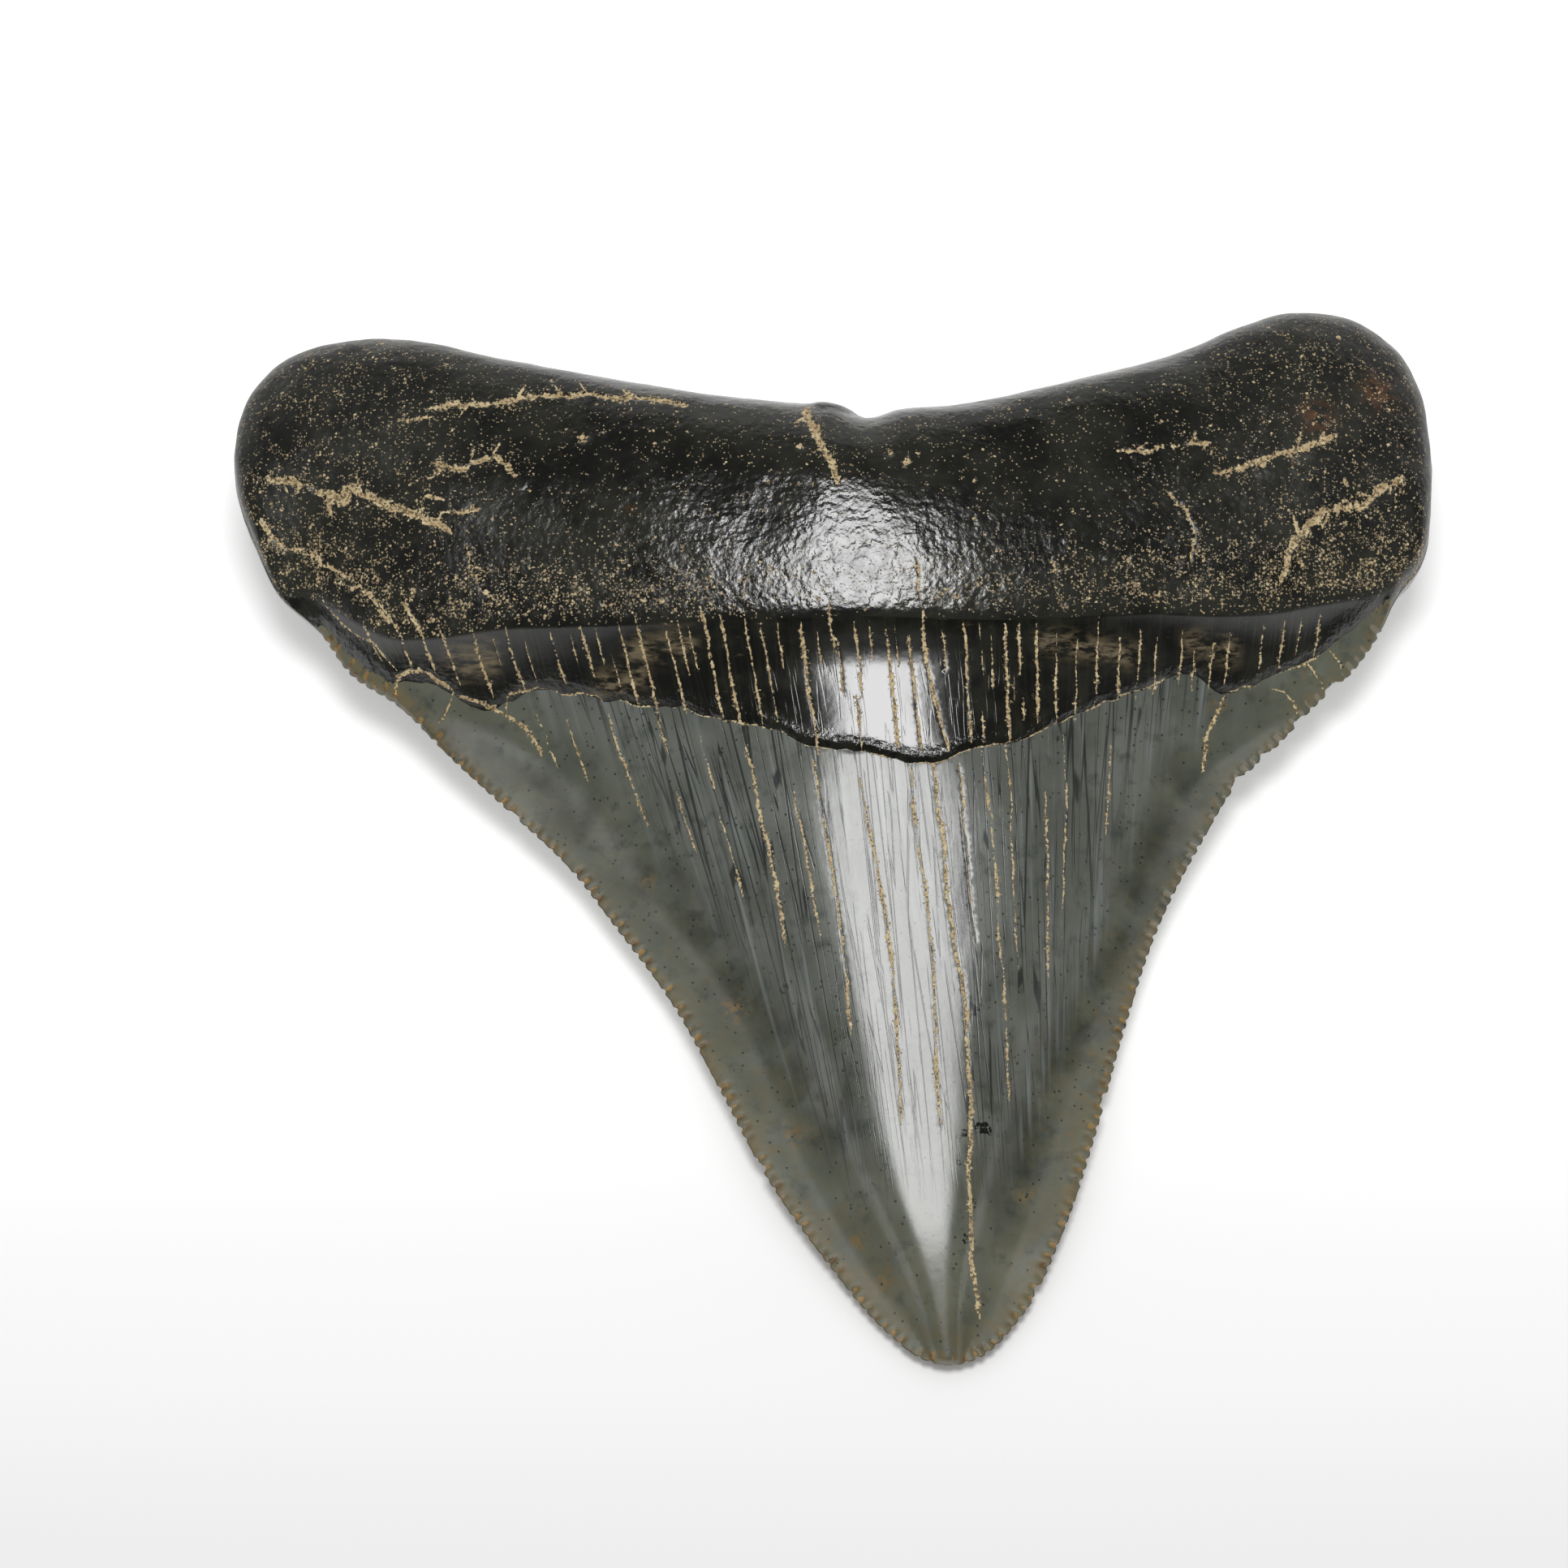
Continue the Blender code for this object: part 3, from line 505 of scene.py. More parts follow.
class Crack:
    """A crack of changing width: its middle line, half its width and how full of silt it is."""

    def __init__(self, points, width, silt, seed, wild=1.0):
        p = np.array(points, float)
        along = np.concatenate([[0], np.cumsum(np.hypot(*np.diff(p, axis=0).T))])
        self.length = along[-1]
        at = np.linspace(0, self.length, max(round(self.length / CRACK_STEP), 4) + 1)
        middle = np.stack([np.interp(at, along, axis) for axis in p.T], -1)
        tag = np.stack([at, np.full(len(at), seed * 3.7)], -1)
        sway = wild * (0.13 * lumps(tag, 2.4, 1.0) + 0.1 * lumps(tag, 0.7, 2.0))
        lean = np.gradient(middle, axis=0)
        lean /= np.linalg.norm(lean, axis=1, keepdims=True)
        self.across = np.stack([-lean[:, 1], lean[:, 0]], -1)
        self.middle = middle + self.across * sway[:, None] * min(self.length / 3, 1)
        ends = ramp(0, 0.8, at + 0.15) * ramp(0, 0.8, self.length - at + 0.15)
        beads = 1 + 0.6 * lumps(tag, 0.7, 3.0) + 0.5 * lumps(tag, 2.2, 4.0)
        self.half = width / 2 * beads * (0.3 + 0.7 * ends)
        self.silt = np.clip(silt * 1.3 + 0.9 * lumps(tag, 2.0, 5.0) - 0.1, 0, 1)
        self.depth = (CRACK_FLUSH + CRACK_DEEPER * max(width - DEEP_FROM, 0)) * wild * ends
        self.reach = np.full(len(at), 1.2 + 0.3 * wild)


print("a crack of 2 mm has", len(Crack([(0, 0), (2, 0)], PLAIN, 1.0, 1).middle), "places")

# %% Cracks from the lists
def all_cracks(straight, crooked, first_seed, wild=1.0):
    """Cracks from both kinds of lists."""
    found = []
    for x, y, length, width in straight:
        found.append(Crack(down_the_fan(x, y, length), width, 0.75, first_seed + len(found)))
    for width, silt, points in crooked:
        found.append(Crack(points, width, silt, first_seed + len(found), wild))
    return found


BRANCH_EVERY, BRANCH_SKIP = 17, 0.25  # a branch for each 1.7 mm of crack, but a quarter is left out
BRANCH_FROM, BRANCH_WIDTH, BRANCH_SILT, BRANCH_WILD = 0.14, 1.1, 0.9, 1.6
ROOT_WILD = 2.2


def side_branches(cracks, first_seed):
    """Short side branches that make a wide crack of the root ragged."""
    dice = random.Random(first_seed)
    found = []
    for crack in cracks:
        for i in range(12, len(crack.middle) - 8, BRANCH_EVERY):
            if crack.half[i] < BRANCH_FROM or dice.random() < BRANCH_SKIP:
                continue
            along = crack.middle[i + 4] - crack.middle[i]
            along /= np.hypot(*along)
            forward = along * dice.choice((-0.8, 0.8))
            sideways = crack.across[i] * dice.choice((-1, 1)) * dice.uniform(0.5, 1.2)
            points = [crack.middle[i], crack.middle[i] + (forward + sideways) * dice.uniform(0.5, 1.3)]
            seed = first_seed + len(found)
            found.append(Crack(points, crack.half[i] * BRANCH_WIDTH, BRANCH_SILT, seed, BRANCH_WILD))
    return found


seams = []  # silt also lies along most of the bourlette's lower edge
for start, end in ((-20.5, 0.0), (0.3, 23.6), (27.8, 34.6)):
    seam_x = np.arange(start, end, 0.3)
    seams.append((THIN, 0.5, list(zip(seam_x, bourlette(seam_x)))))
crooked = LONG_CRACKS + SHOULDER_CRACKS + seams
lingual_cracks = all_cracks(BOURLETTE_CRACKS + CROWN_CRACKS, crooked, 0)
root_cracks = all_cracks([], ROOT_CRACKS, 200, ROOT_WILD)
root_cracks += side_branches(root_cracks, 240)
lingual_cracks += root_cracks
print(len(lingual_cracks), "cracks,", round(sum(c.length for c in lingual_cracks)), "mm in all")

# %% [markdown]
# The labial face lies on the ground, but a loose fossil is turned over in the hand. So it
# gets fine cracks of its own, which run down from the neck, and a few on the root.

# %% Cracks of the labial face
draw = random.Random(4)
labial_straight = []
for x in np.arange(-24, 28, 2.6):
    x += draw.uniform(-1.0, 1.0)
    top = float(through(NECK, x)) - draw.uniform(0.3, 2.5)
    room = (30 - abs(x - 4)) / 30
    labial_straight.append((x, top, draw.uniform(5, 24) * room + 2, draw.choice([THIN, PLAIN, WIDE])))
LABIAL_CROOKED = [
    (0.35, 0.9, [(-33.0, 25.0), (-29.0, 24.2), (-25.5, 25.0), (-21.0, 23.8)]),
    (0.3, 0.8, [(37.5, 27.0), (34.0, 24.6), (31.5, 24.9), (28.0, 22.7), (26.5, 20.0)]),
    (0.3, 0.9, [(19.0, 29.5), (16.5, 27.0), (16.9, 25.2)]),
    (0.28, 0.8, [(-13.0, 29.3), (-12.0, 27.2), (-9.6, 26.4)]),
]
labial_cracks = all_cracks(labial_straight, LABIAL_CROOKED, 300)
print(len(labial_cracks), "cracks on the labial face")

# %% [markdown]
# ## Serrations
# Each cutting edge carries about twelve small crests to the centimetre. Between two crests
# a short slot runs in from the edge. Instancing a crest along a curve would leave seams, so
# the outline itself is moved in and out, and the slots are cut into the bevel behind it.

# %% The cutting edges
SERRATION = 0.83
PHASES = 6  # points of the outline for each serration
CHIPS = [  # X, Y, half width and depth of each place where the edge is broken
    (35.6, 11.0, 0.7, 0.4), (30.6, 5.9, 0.5, 0.25), (28.6, 4.2, 0.6, 0.3), (18.9, -19.8, 0.5, 0.25),
    (33.1, 8.6, 0.4, 0.25), (-22.4, 1.6, 0.4, 0.2), (-5.0, -24.6, 0.4, 0.2), (13.9, -33.5, 0.45, 0.2),
]
cutting = LENGTH - LEFT_END + RIGHT_END
serrations = round(cutting / SERRATION)
serration_length = cutting / serrations
wear = [draw.uniform(0.45, 1.25) * (0.25 if draw.random() < 0.12 else 1) for _ in range(serrations + 1)]
wear = np.array(wear)
chip_at = [OUTLINE_LINE.near(np.array([[x, y]]))[1][0] * LENGTH / OUTLINE_PIECES for x, y, _, _ in CHIPS]


def serration_at(s):
    """For places along the outline: 0 to 1 into a slot, and how deep that slot is."""
    along = ((np.asarray(s) - LEFT_END) % LENGTH) / serration_length
    phase = np.abs(along % 1 - 0.5) * serration_length
    slot = 1 - ramp(0.06, 0.24, phase)
    which = np.clip(along.astype(int), 0, serrations)
    return np.where(along < serrations, slot, 0), wear[which]


def edge_offset(s):
    """How far the serrations and chips move the outline in."""
    slot, deep = serration_at(s)
    inset = (0.1 * slot - 0.03) * deep * (((s - LEFT_END) % LENGTH) < cutting)
    for at, (_, _, half, depth) in zip(chip_at, CHIPS):
        gap = np.minimum(np.abs(s - at), LENGTH - np.abs(s - at))
        inset = inset + depth * np.exp(-((gap / half) ** 4))
    return inset


cut_s = LEFT_END + cutting * np.arange(serrations * PHASES + 1) / (serrations * PHASES)
root_s = np.linspace(RIGHT_END, LEFT_END, round((LEFT_END - RIGHT_END) / 0.36) + 1)[1:-1]
loop = np.concatenate([on_outline(cut_s, edge_offset(cut_s % LENGTH)), on_outline(root_s)])
print(serrations, "serrations,", len(loop), "points round the outline")

# %% [markdown]
# ## Where the mesh needs points
# An even grid would waste its points on smooth places and miss the cracks. So points are
# set first along each feature: rows behind the serrations, rings where the root turns down,
# five rows along each crack, and the two ledges. A staggered grid fills what is left.

# %% Points of the features
GRID, UNDER_GRID = 0.28, 0.55
CUT_ROWS = (0.1, 0.22, 0.36, 0.52, 0.7, 0.92)
ROOT_RINGS = [BACK_ROUND * (1 - math.cos(math.radians(turn))) for turn in (3, 6, 9, 12, 15, 18, 21, 24)]
CUT_ROWS_UNDER = (0.15, 0.4, 0.8)
ROOT_RINGS_UNDER = [UNDER_ROUND * (1 - math.cos(math.radians(turn))) for turn in range(5, 46, 5)]


def rows(insets, s):
    """Points on lines that follow the outline."""
    shift = edge_offset(s % LENGTH)
    return [on_outline(s, inset + shift * math.exp(-inset / 0.6)) for inset in insets]


def crack_rows(crack, step=0.42):
    """Five rows of points along a crack: its floor, both sides of it and both lips."""
    count = max(round(crack.length / step), 3)
    pick = np.linspace(0, len(crack.middle) - 1, count + 1).astype(int)
    found = []
    for share in (0, -0.4, 0.4, -1, 1):
        found.append(crack.middle[pick] + crack.across[pick] * (share * crack.half[pick])[:, None])
    return found


def ledge_rows(curve, shifts, start, end, step=0.34):
    """Rows along a line across the tooth, moved along Y."""
    x = np.arange(start, end, step)
    return [np.stack([x, curve(x) + shift], -1) for shift in shifts]


def clear(lines, keep_in):
    """The parts of lines that stay well inside the outline, each with its edges."""
    points, edges = [], []
    for line in lines:
        good = OUTLINE_LINE.near(line)[0] > keep_in
        number = np.cumsum(good) - 1 + len(points)
        edges += [(number[i], number[i + 1]) for i in range(len(line) - 1) if good[i] and good[i + 1]]
        points += list(line[good])
    return points, edges


def grid(step, keep_in, taken, keep_off):
    """Staggered rows of points over the plan, clear of the outline and of points already set."""
    ys = np.arange(-40, 40, step * math.sqrt(3) / 2)
    xs = np.arange(-44, 44, step)
    places = np.array([(x + step / 2 * (i % 2), y) for i, y in enumerate(ys) for x in xs])
    places = places[OUTLINE_LINE.near(places)[0] > keep_in]
    tree = Line(taken).tree
    return np.array([p for p in places if tree.find((p[0], p[1], 0))[2] > keep_off])


print("a grid of", GRID, "mm fills the lingual surface, and", UNDER_GRID, "mm the labial one")

# %% Points of the lingual surface
LIP_ROWS = (0.6, 0.38, 0.18, 0.0, -0.12, -0.32, -0.6)
BOURLETTE_ROWS = (0.0, 0.17, 0.34, RIM)
ledges = ledge_rows(lambda x: through(GROOVE, x), LIP_ROWS, -38, 39)
ledges += ledge_rows(bourlette, BOURLETTE_ROWS, -35.8, 38)
over_rows = [row for crack in lingual_cracks for row in crack_rows(crack)]
over, over_edges = clear(ledges + over_rows, 1.0)
over += [p for line in rows(CUT_ROWS, cut_s) + rows(ROOT_RINGS, root_s) for p in line]
over = np.concatenate([over, grid(GRID, 1.02, over, 0.17)])
print(len(over), "points for the lingual surface")

# %% Points under the tooth
NECK_ROWS = (-ENAMEL_STEP, 0.0, ENAMEL_STEP)
neck_rows = ledge_rows(lambda x: through(NECK, x), NECK_ROWS, -38, 39.5, 0.6)
under_rows = [row for crack in labial_cracks for row in crack_rows(crack, 0.6)]
under, under_edges = clear(neck_rows + under_rows, 0.95)
under += [p for line in rows(CUT_ROWS_UNDER, cut_s[::2]) + rows(ROOT_RINGS_UNDER, root_s) for p in line]
under = np.concatenate([under, grid(UNDER_GRID, 1.5, under, 0.3)])
print(len(under), "points for the labial surface")

# %% [markdown]
# ## From points to a closed mesh
# A constrained Delaunay triangulation joins the points of each surface and keeps the rows
# as edges. Both surfaces use the outline's own points, so the mesh closes without a seam.

# %% One surface
def inside(places, closed):
    """Which places are inside a closed line."""
    x, y = places.T[:, :, None]
    (x0, y0), (x1, y1) = closed.T, np.roll(closed, -1, 0).T
    spans = (y0 > y) != (y1 > y)
    with np.errstate(divide="ignore", invalid="ignore"):
        left_of = x < (x1 - x0) * (y - y0) / (y1 - y0) + x0
    return (spans & left_of).sum(1) % 2 == 1


def sheet(points, edges, height):
    """One surface: its points in space, its triangles, and which outline point each one is."""
    plan = np.concatenate([loop, points])
    ring = [(i, (i + 1) % len(loop)) for i in range(len(loop))]
    lines = ring + [(int(a) + len(loop), int(b) + len(loop)) for a, b in edges]
    spots, _, faces, origin, _, _ = delaunay_2d_cdt([Vector(p) for p in plan], lines, [], 0, 1e-6, True)
    spots, faces = np.array(spots), np.array(faces)
    on_loop = np.array([min([i for i in came if i < len(loop)], default=-1) for came in origin])
    # A face whose three corners are on the outline may lie outside it, in one of its hollows.
    corners = (on_loop[faces] >= 0).all(1)
    middle = spots[faces].mean(1)
    outside = corners.copy()
    outside[corners] = ~inside(middle[corners], loop)
    faces = faces[~outside]
    space = np.column_stack([spots, height(spots)])
    space[on_loop >= 0, 2] = through(EDGE_HEIGHT, spots[on_loop >= 0, 1])
    return space, faces, on_loop


print("both surfaces share", len(loop), "points of the outline")

# %% Both surfaces joined
top, top_faces, top_loop = sheet(over, over_edges, lingual)
bottom, bottom_faces, bottom_loop = sheet(under, under_edges, labial)
new_number = np.empty(len(bottom), int)
shared = bottom_loop >= 0
on_top = np.empty(len(loop), int)
on_top[top_loop[top_loop >= 0]] = np.flatnonzero(top_loop >= 0)
new_number[shared] = on_top[bottom_loop[shared]]
new_number[~shared] = len(top) + np.arange((~shared).sum())
places = np.concatenate([top, bottom[~shared]])
faces = np.concatenate([top_faces, new_number[bottom_faces][:, ::-1]])
is_top = np.arange(len(places)) < len(top)
plan = places[:, :2].copy()
print(len(places), "points and", len(faces), "triangles")

# %% [markdown]
# ## Relief along the surface
# Now that the main form stands, everything finer is pushed along the surface's own
# direction, so that it also works on the steep sides of the root. It is a sum: lumps and
# pits of the root, ripples of the enameloid, slots between the serrations, and cracks.

# %% Directions and zones
def directions(places, faces):
    """The surface's direction at each point."""
    a, b, c = places[faces].transpose(1, 0, 2)
    face = np.cross(b - a, c - a)
    total = np.zeros_like(places)
    for corner in range(3):
        np.add.at(total, faces[:, corner], face)
    return total / (np.linalg.norm(total, axis=1, keepdims=True) + 1e-12)


x, y = plan.T
inset, outline_index = OUTLINE_LINE.near(plan)
inset = np.maximum(inset, 0)
outline_s = outline_index * LENGTH / OUTLINE_PIECES
past_groove = np.where(is_top, y - groove(x), y - through(NECK, x))
past_bourlette = y - bourlette(x)
root_zone = ramp(-0.1, 0.5, past_groove)
crown_zone = 1 - root_zone
bourlette_zone = is_top * crown_zone * ramp(-0.2, 0.2, past_bourlette)
ridge = dome(plan) * crown_zone
print("root", round(root_zone.mean(), 2), "crown", round(crown_zone.mean(), 2), "of all points")

# %% Cracks in the surface
CRACK_FAR = 2.5  # farther away than this a crack does nothing
FLOOR_SHARE = 0.3  # of half its width, the rest is its wall
HALO = 0.9  # dust gathers this near a crack


def crack_relief(cracks, where):
    """How far cracks lower each point, how much silt lies there, and how close the crack is."""
    middle = np.concatenate([c.middle for c in cracks])
    half = np.concatenate([c.half for c in cracks])
    depth = np.concatenate([c.depth for c in cracks])
    silt = np.concatenate([c.silt for c in cracks])
    reach = np.concatenate([c.reach for c in cracks])
    tree = Line(middle).tree
    low, full, halo = np.zeros(len(plan)), np.zeros(len(plan)), np.zeros(len(plan))
    for i in np.flatnonzero(where):
        spot, nearest, _ = tree.find((x[i], y[i], 0))
        gap = math.hypot(x[i] - spot[0], y[i] - spot[1])
        if gap > CRACK_FAR:
            continue
        w = half[nearest]
        low[i] = depth[nearest] * (1 - ramp(FLOOR_SHARE, 1, gap / w))
        full[i] = silt[nearest] * (1 - ramp(FLOOR_SHARE, reach[nearest], gap / w))
        halo[i] = silt[nearest] * min(w / 0.2, 1) * math.exp(-((gap / HALO) ** 2))
    return low, full, halo


low_top, silt_top, halo = crack_relief(lingual_cracks, is_top)
low_under, silt_under, _ = crack_relief(labial_cracks, ~is_top)
silt = silt_top + silt_under
crack_low = low_top + low_under
print("the deepest crack is", round(float(crack_low.max()), 2), "mm deep")

# %% Pits of the root
PITS = [  # X, Y and half width of the pits that stand out, before the random ones
    (4.0, 23.3, 0.45), (5.2, 22.6, 0.5), (6.0, 23.4, 0.4), (-2.3, 23.8, 0.5), (-17.6, 25.7, 0.6),
    (18.6, 16.2, 0.5), (20.6, 16.4, 0.4), (15.8, 17.1, 0.4), (-21.3, 21.9, 0.6), (-16.2, 26.1, 0.4),
]
SMALL_PITS, PIT_DEPTH = 240, 0.32  # a pit's depth is given as a share of half its width
for _ in range(SMALL_PITS):
    PITS.append((draw.uniform(-41, 41), draw.uniform(12, 37), draw.uniform(0.14, 0.34)))
pit_low = np.zeros(len(plan))
order = Line(plan).tree
for px, py, half in PITS:
    rim = draw.uniform(0.3, 1.0)
    for spot, i, gap in order.find_range((px, py, 0), half * 1.6):
        bowl = math.exp(-((gap / (0.7 * half)) ** 2))
        pit_low[i] = max(pit_low[i], PIT_DEPTH * half * rim * bowl)
        silt[i] = max(silt[i], rim * bowl * 0.8 * root_zone[i])
pit_low *= root_zone
print("the deepest of", len(PITS), "pits is", round(float(pit_low.max()), 2), "mm deep")

# %% [markdown]
# Stains aren't relief, and neither is the shade painted into the crown's valleys. Each is a share
# between 0 and 1 that falls off around a spot or a line, and the materials read it later.

# %% Stains, painted valley shade and smears
MINERAL_SPOTS = [  # X, Y and radius of black spots, most of them along the main crack
    (9.8, -15.4, 0.35), (8.6, -13.2, 0.25), (10.2, -23.2, 0.5), (8.9, -23.9, 0.3), (8.6, -25.9, 0.3),
    (9.6, -28.3, 0.3), (8.9, -30.9, 0.25), (-3.2, -12.6, 0.3), (12.6, -18.0, 0.2), (2.1, -21.5, 0.2),
]
RUST_SPOTS = [
    (-6.9, -12.9, 0.9), (1.7, -30.2, 0.5), (39.0, 31.4, 1.3), (34.5, 28.6, 1.2), (-13.0, -3.4, 0.5),
    (-2.8, -22.4, 0.7), (3.4, -33.0, 0.7), (13.2, -26.8, 0.5), (-30.4, 11.3, 0.6), (27.2, 9.0, 0.6),
]
SHADED_VALLEYS = [  # painted shade, darkest where the ridge meets the margins
    [(-31, 8.5), (-26.5, 6.5), (-20, 4), (-15, -1), (-11.3, -5), (-7.5, -9.6), (-4.5, -14),
     (0.5, -23)],
    [(25, 3), (21, -5), (18.6, -10.7), (14.7, -19.4), (12.4, -28)],
]
SMEARS = [  # first X, last X and Y of each smear of silt on the bourlette
    (-14.0, -10.1, 10.5), (-16.3, -13.5, 9.2), (14.8, 21.1, 10.6), (25.2, 28.1, 11.9),
    (-27.0, -24.0, 11.2),
]
VALLEY_HALF, SMEAR_HALF, SMEAR_END = 2.3, 0.7, 0.6


def stain(spots):
    """How much of a stain is at each point of the upper surface."""
    found = np.zeros(len(plan))
    for at_x, at_y, radius in spots:
        found = np.maximum(found, np.exp(-(((x - at_x) ** 2 + (y - at_y) ** 2) / radius**2)))
    return found * is_top


# Painted shade: a band along each valley of the crown, which the crown's material darkens.
valley_shade = np.zeros(len(plan))
for valley in SHADED_VALLEYS:
    step = np.linspace(0, len(valley) - 1, 150)
    corners = np.array(valley, float).T
    middle = np.stack([np.interp(step, range(len(valley)), axis) for axis in corners], -1)
    valley_shade = np.maximum(valley_shade, np.exp(-((Line(middle).near(plan)[0] / VALLEY_HALF) ** 2)))

smear = np.zeros(len(plan))
for start, end, at_y in SMEARS:
    beside = np.maximum(np.maximum(start - x, x - end), 0)
    here = np.exp(-((beside / SMEAR_END) ** 2) - ((y - at_y) / SMEAR_HALF) ** 2)
    smear = np.maximum(smear, here)
print(int((smear * is_top > 0.5).sum()), "points lie under a smear of silt")

# %% Lumps and ripples
FLAKE_AT, FLAKE_HALF, FLAKE_HEIGHT = (0.3, 28.7), (1.7, 0.6), 0.25
END_START, END_FULL, MIDDLE = 18, 36, 1  # the root's two ends, by distance from its middle
normal = directions(places, faces)
relief = root_zone * (
    0.024 * lumps(places, 2.2, 3.0)
    + 0.014 * lumps(places, 1.1, 4.0)
    + 0.008 * lumps(places, 0.7, 5.0)
    + 0.03 * lumps(places, (4.5, 1.0, 1.0), 6.0) * ramp(20, 26, y)
)
ends = ramp(END_START, END_FULL, np.abs(x - MIDDLE))
relief += root_zone * ends * 0.05 * lumps(places, 1.7, 14.0)
# A thin flake is left standing at the back.
off_x, off_y = ((axis - at) / half for axis, at, half in zip((x, y), FLAKE_AT, FLAKE_HALF))
relief += root_zone * is_top * FLAKE_HEIGHT * np.exp(-(off_x**6) - off_y**4)
threads = np.stack([thread(plan), y], -1)
flank = ridge * (1 - bourlette_zone) * ramp(-34, -22, y)
relief += flank * (0.008 * lumps(threads, (1.1, 14.0), 7.0) + 0.003 * lumps(threads, (0.55, 9.0), 8.0))
relief += bourlette_zone * (0.02 * lumps(places, 3.2, 9.0) + 0.004 * lumps(threads, (0.9, 4.0), 10.0))
rim_here = bourlette_zone * np.exp(-(((past_bourlette - RIM) / 0.45) ** 2))
torn = 0.05 * lumps(places, (2.0, 0.7, 1.0), 12.0) + 0.03 * lumps(places, (0.8, 0.5, 1.0), 13.0)
relief += rim_here * torn
relief += (1 - ridge) * crown_zone * 0.03 * lumps(places, 3.5, 11.0)
print("lumps and ripples reach", round(float(np.abs(relief).max()), 2), "mm")

# %% Slots, cracks and pits
SLOT_DEPTH, SLOT_FROM, SLOT_TO = 0.07, 0.35, 0.85
slot, slot_deep = serration_at(outline_s)
slot_fade = ramp(0, 0.05, inset) * (1 - ramp(SLOT_FROM, SLOT_TO, inset / (0.6 + 0.4 * slot_deep)))
slot_low = SLOT_DEPTH * slot * np.minimum(slot_deep, 1.1) * slot_fade
relief = relief * ramp(0, 0.5, inset + root_zone) - slot_low
relief -= (crack_low + pit_low) * ramp(0.0, 0.5, inset)
seat = (~is_top) & (off_seat(x, y) < 1.1)  # nothing stands out of the seat
relief[seat] = np.minimum(relief[seat], 0)
places = places + normal * relief[:, None]
print("relief from", round(float(relief.min()), 2), "to", round(float(relief.max()), 2), "mm")

# %% [markdown]
# ## The piece
# The mesh becomes one object that replaces the plain solid. What the materials need to know about a
# place is stored on its points: silt, stains, the painted shade of the valleys, slots, how near the
# margin is, and the thread of the fan.

# %% Mesh object
low, high = places.min(0), places.max(0)
places = places - ((low[0] + high[0]) / 2, (low[1] + high[1]) / 2, max(low[2], 0))
places[:, 2] = np.maximum(places[:, 2], 0)
mesh = bpy.data.meshes.new("fossil_tooth")
mesh.from_pydata((places * MM).tolist(), [], faces.tolist())
mesh.update()
mesh.shade_smooth()
tooth = bpy.data.objects.new("fossil_tooth", mesh)
bpy.context.scene.collection.objects.link(tooth)
print("the mesh has", len(mesh.vertices), "points")

# %% [markdown]
# A material can read a number that is stored on each point under a name. Dust is how
# thickly fine silt lies in the root's pores. It is thickest in a band along the lip, thick
# near cracks and on the two ends, and rubbed off in the middle.

# %% What the mesh remembers
DUST, BAND_DUST, END_DUST, CRACK_DUST = 0.22, 0.78, 0.3, 0.5
RUBBED, RUBBED_AT, RUBBED_HALF = 0.75, 2, 8
MARGIN_WIDTH = 3.5
OTHER_FACE = 40.0  # keeps the patterns of the two faces apart
band = ramp(0, 1.2, past_groove) * (1 - ramp(2.0, 6.5, past_groove)) * is_top
dust = DUST + BAND_DUST * band + END_DUST * ends + CRACK_DUST * halo
rubbed = np.exp(-(((x - RUBBED_AT) / RUBBED_HALF) ** 2)) * (1 - ramp(6, 12, past_groove))
shares = {
    "silt": silt,
    "dust": dust * (1 - RUBBED * is_top * rubbed),
    "ends": ends * is_top,
    "smear": smear * is_top,
    "spot": stain(MINERAL_SPOTS),
    "rust": stain(RUST_SPOTS),
    "valley_shade": valley_shade * is_top,
    "rim": rim_here,
    "slot": slot * slot_fade * np.minimum(slot_deep, 1),
    "margin": crown_zone * np.exp(-inset / MARGIN_WIDTH),
    "ridge": ridge,
}
for name, values in shares.items():
    made = mesh.attributes.new(name, "FLOAT", "POINT")
    made.data.foreach_set("value", np.asarray(values, np.float32))
fan = mesh.attributes.new("fan", "FLOAT_VECTOR", "POINT")
fan_place = np.column_stack([threads, is_top * OTHER_FACE])
fan.data.foreach_set("vector", fan_place.astype(np.float32).ravel())
print("each point remembers", len(shares), "shares and its place in the fan")

# %% Which material each face has
centre_x, centre_y = plan[faces].mean(1).T
on_top_face = np.arange(len(faces)) < len(top_faces)
past = centre_y - np.where(on_top_face, groove(centre_x), through(NECK, centre_x))
glossy = on_top_face & (past <= 0) & (centre_y > bourlette(centre_x))
zone = np.where(past > 0, 0, np.where(glossy, 1, 2))
mesh.polygons.foreach_set("material_index", zone.astype(np.int32))
print("faces of root, bourlette and crown:", [int((zone == i).sum()) for i in range(3)])

# %% [markdown]
# ## Materials
# The colours of the tooth come from phosphate minerals that replaced the living tissue, and
# from the silt it lay in. Painting a picture would do it, but patterns made by nodes stay
# sharp at any size and follow the shape. One helper adds a node, and one turns a colour as
# it looks on a screen into the linear values that Blender works with.

# %% Helpers for materials
def colour(text):
    """A linear colour from an sRGB hex value."""
    parts = [int(text[i : i + 2], 16) / 255 for i in (0, 2, 4)]
    return (*[p / 12.92 if p <= 0.04045 else ((p + 0.055) / 1.055) ** 2.4 for p in parts], 1.0)


def add(tree, kind, *inputs, output="", **settings):
    """Adds one node with its settings, and a value or a link for each input it shows, in order.

    It gives back the output of that name, or else the first one that the node shows.
    """
    made = tree.nodes.new("ShaderNode" + kind)
    for name, value in settings.items():
        setattr(made, name, value)
    for socket, value in zip([s for s in made.inputs if s.enabled], inputs):
        if isinstance(value, bpy.types.NodeSocket):
            tree.links.new(value, socket)
        else:
            socket.default_value = value
    return next((s for s in made.outputs if s.enabled and output in ("", s.name)), None)


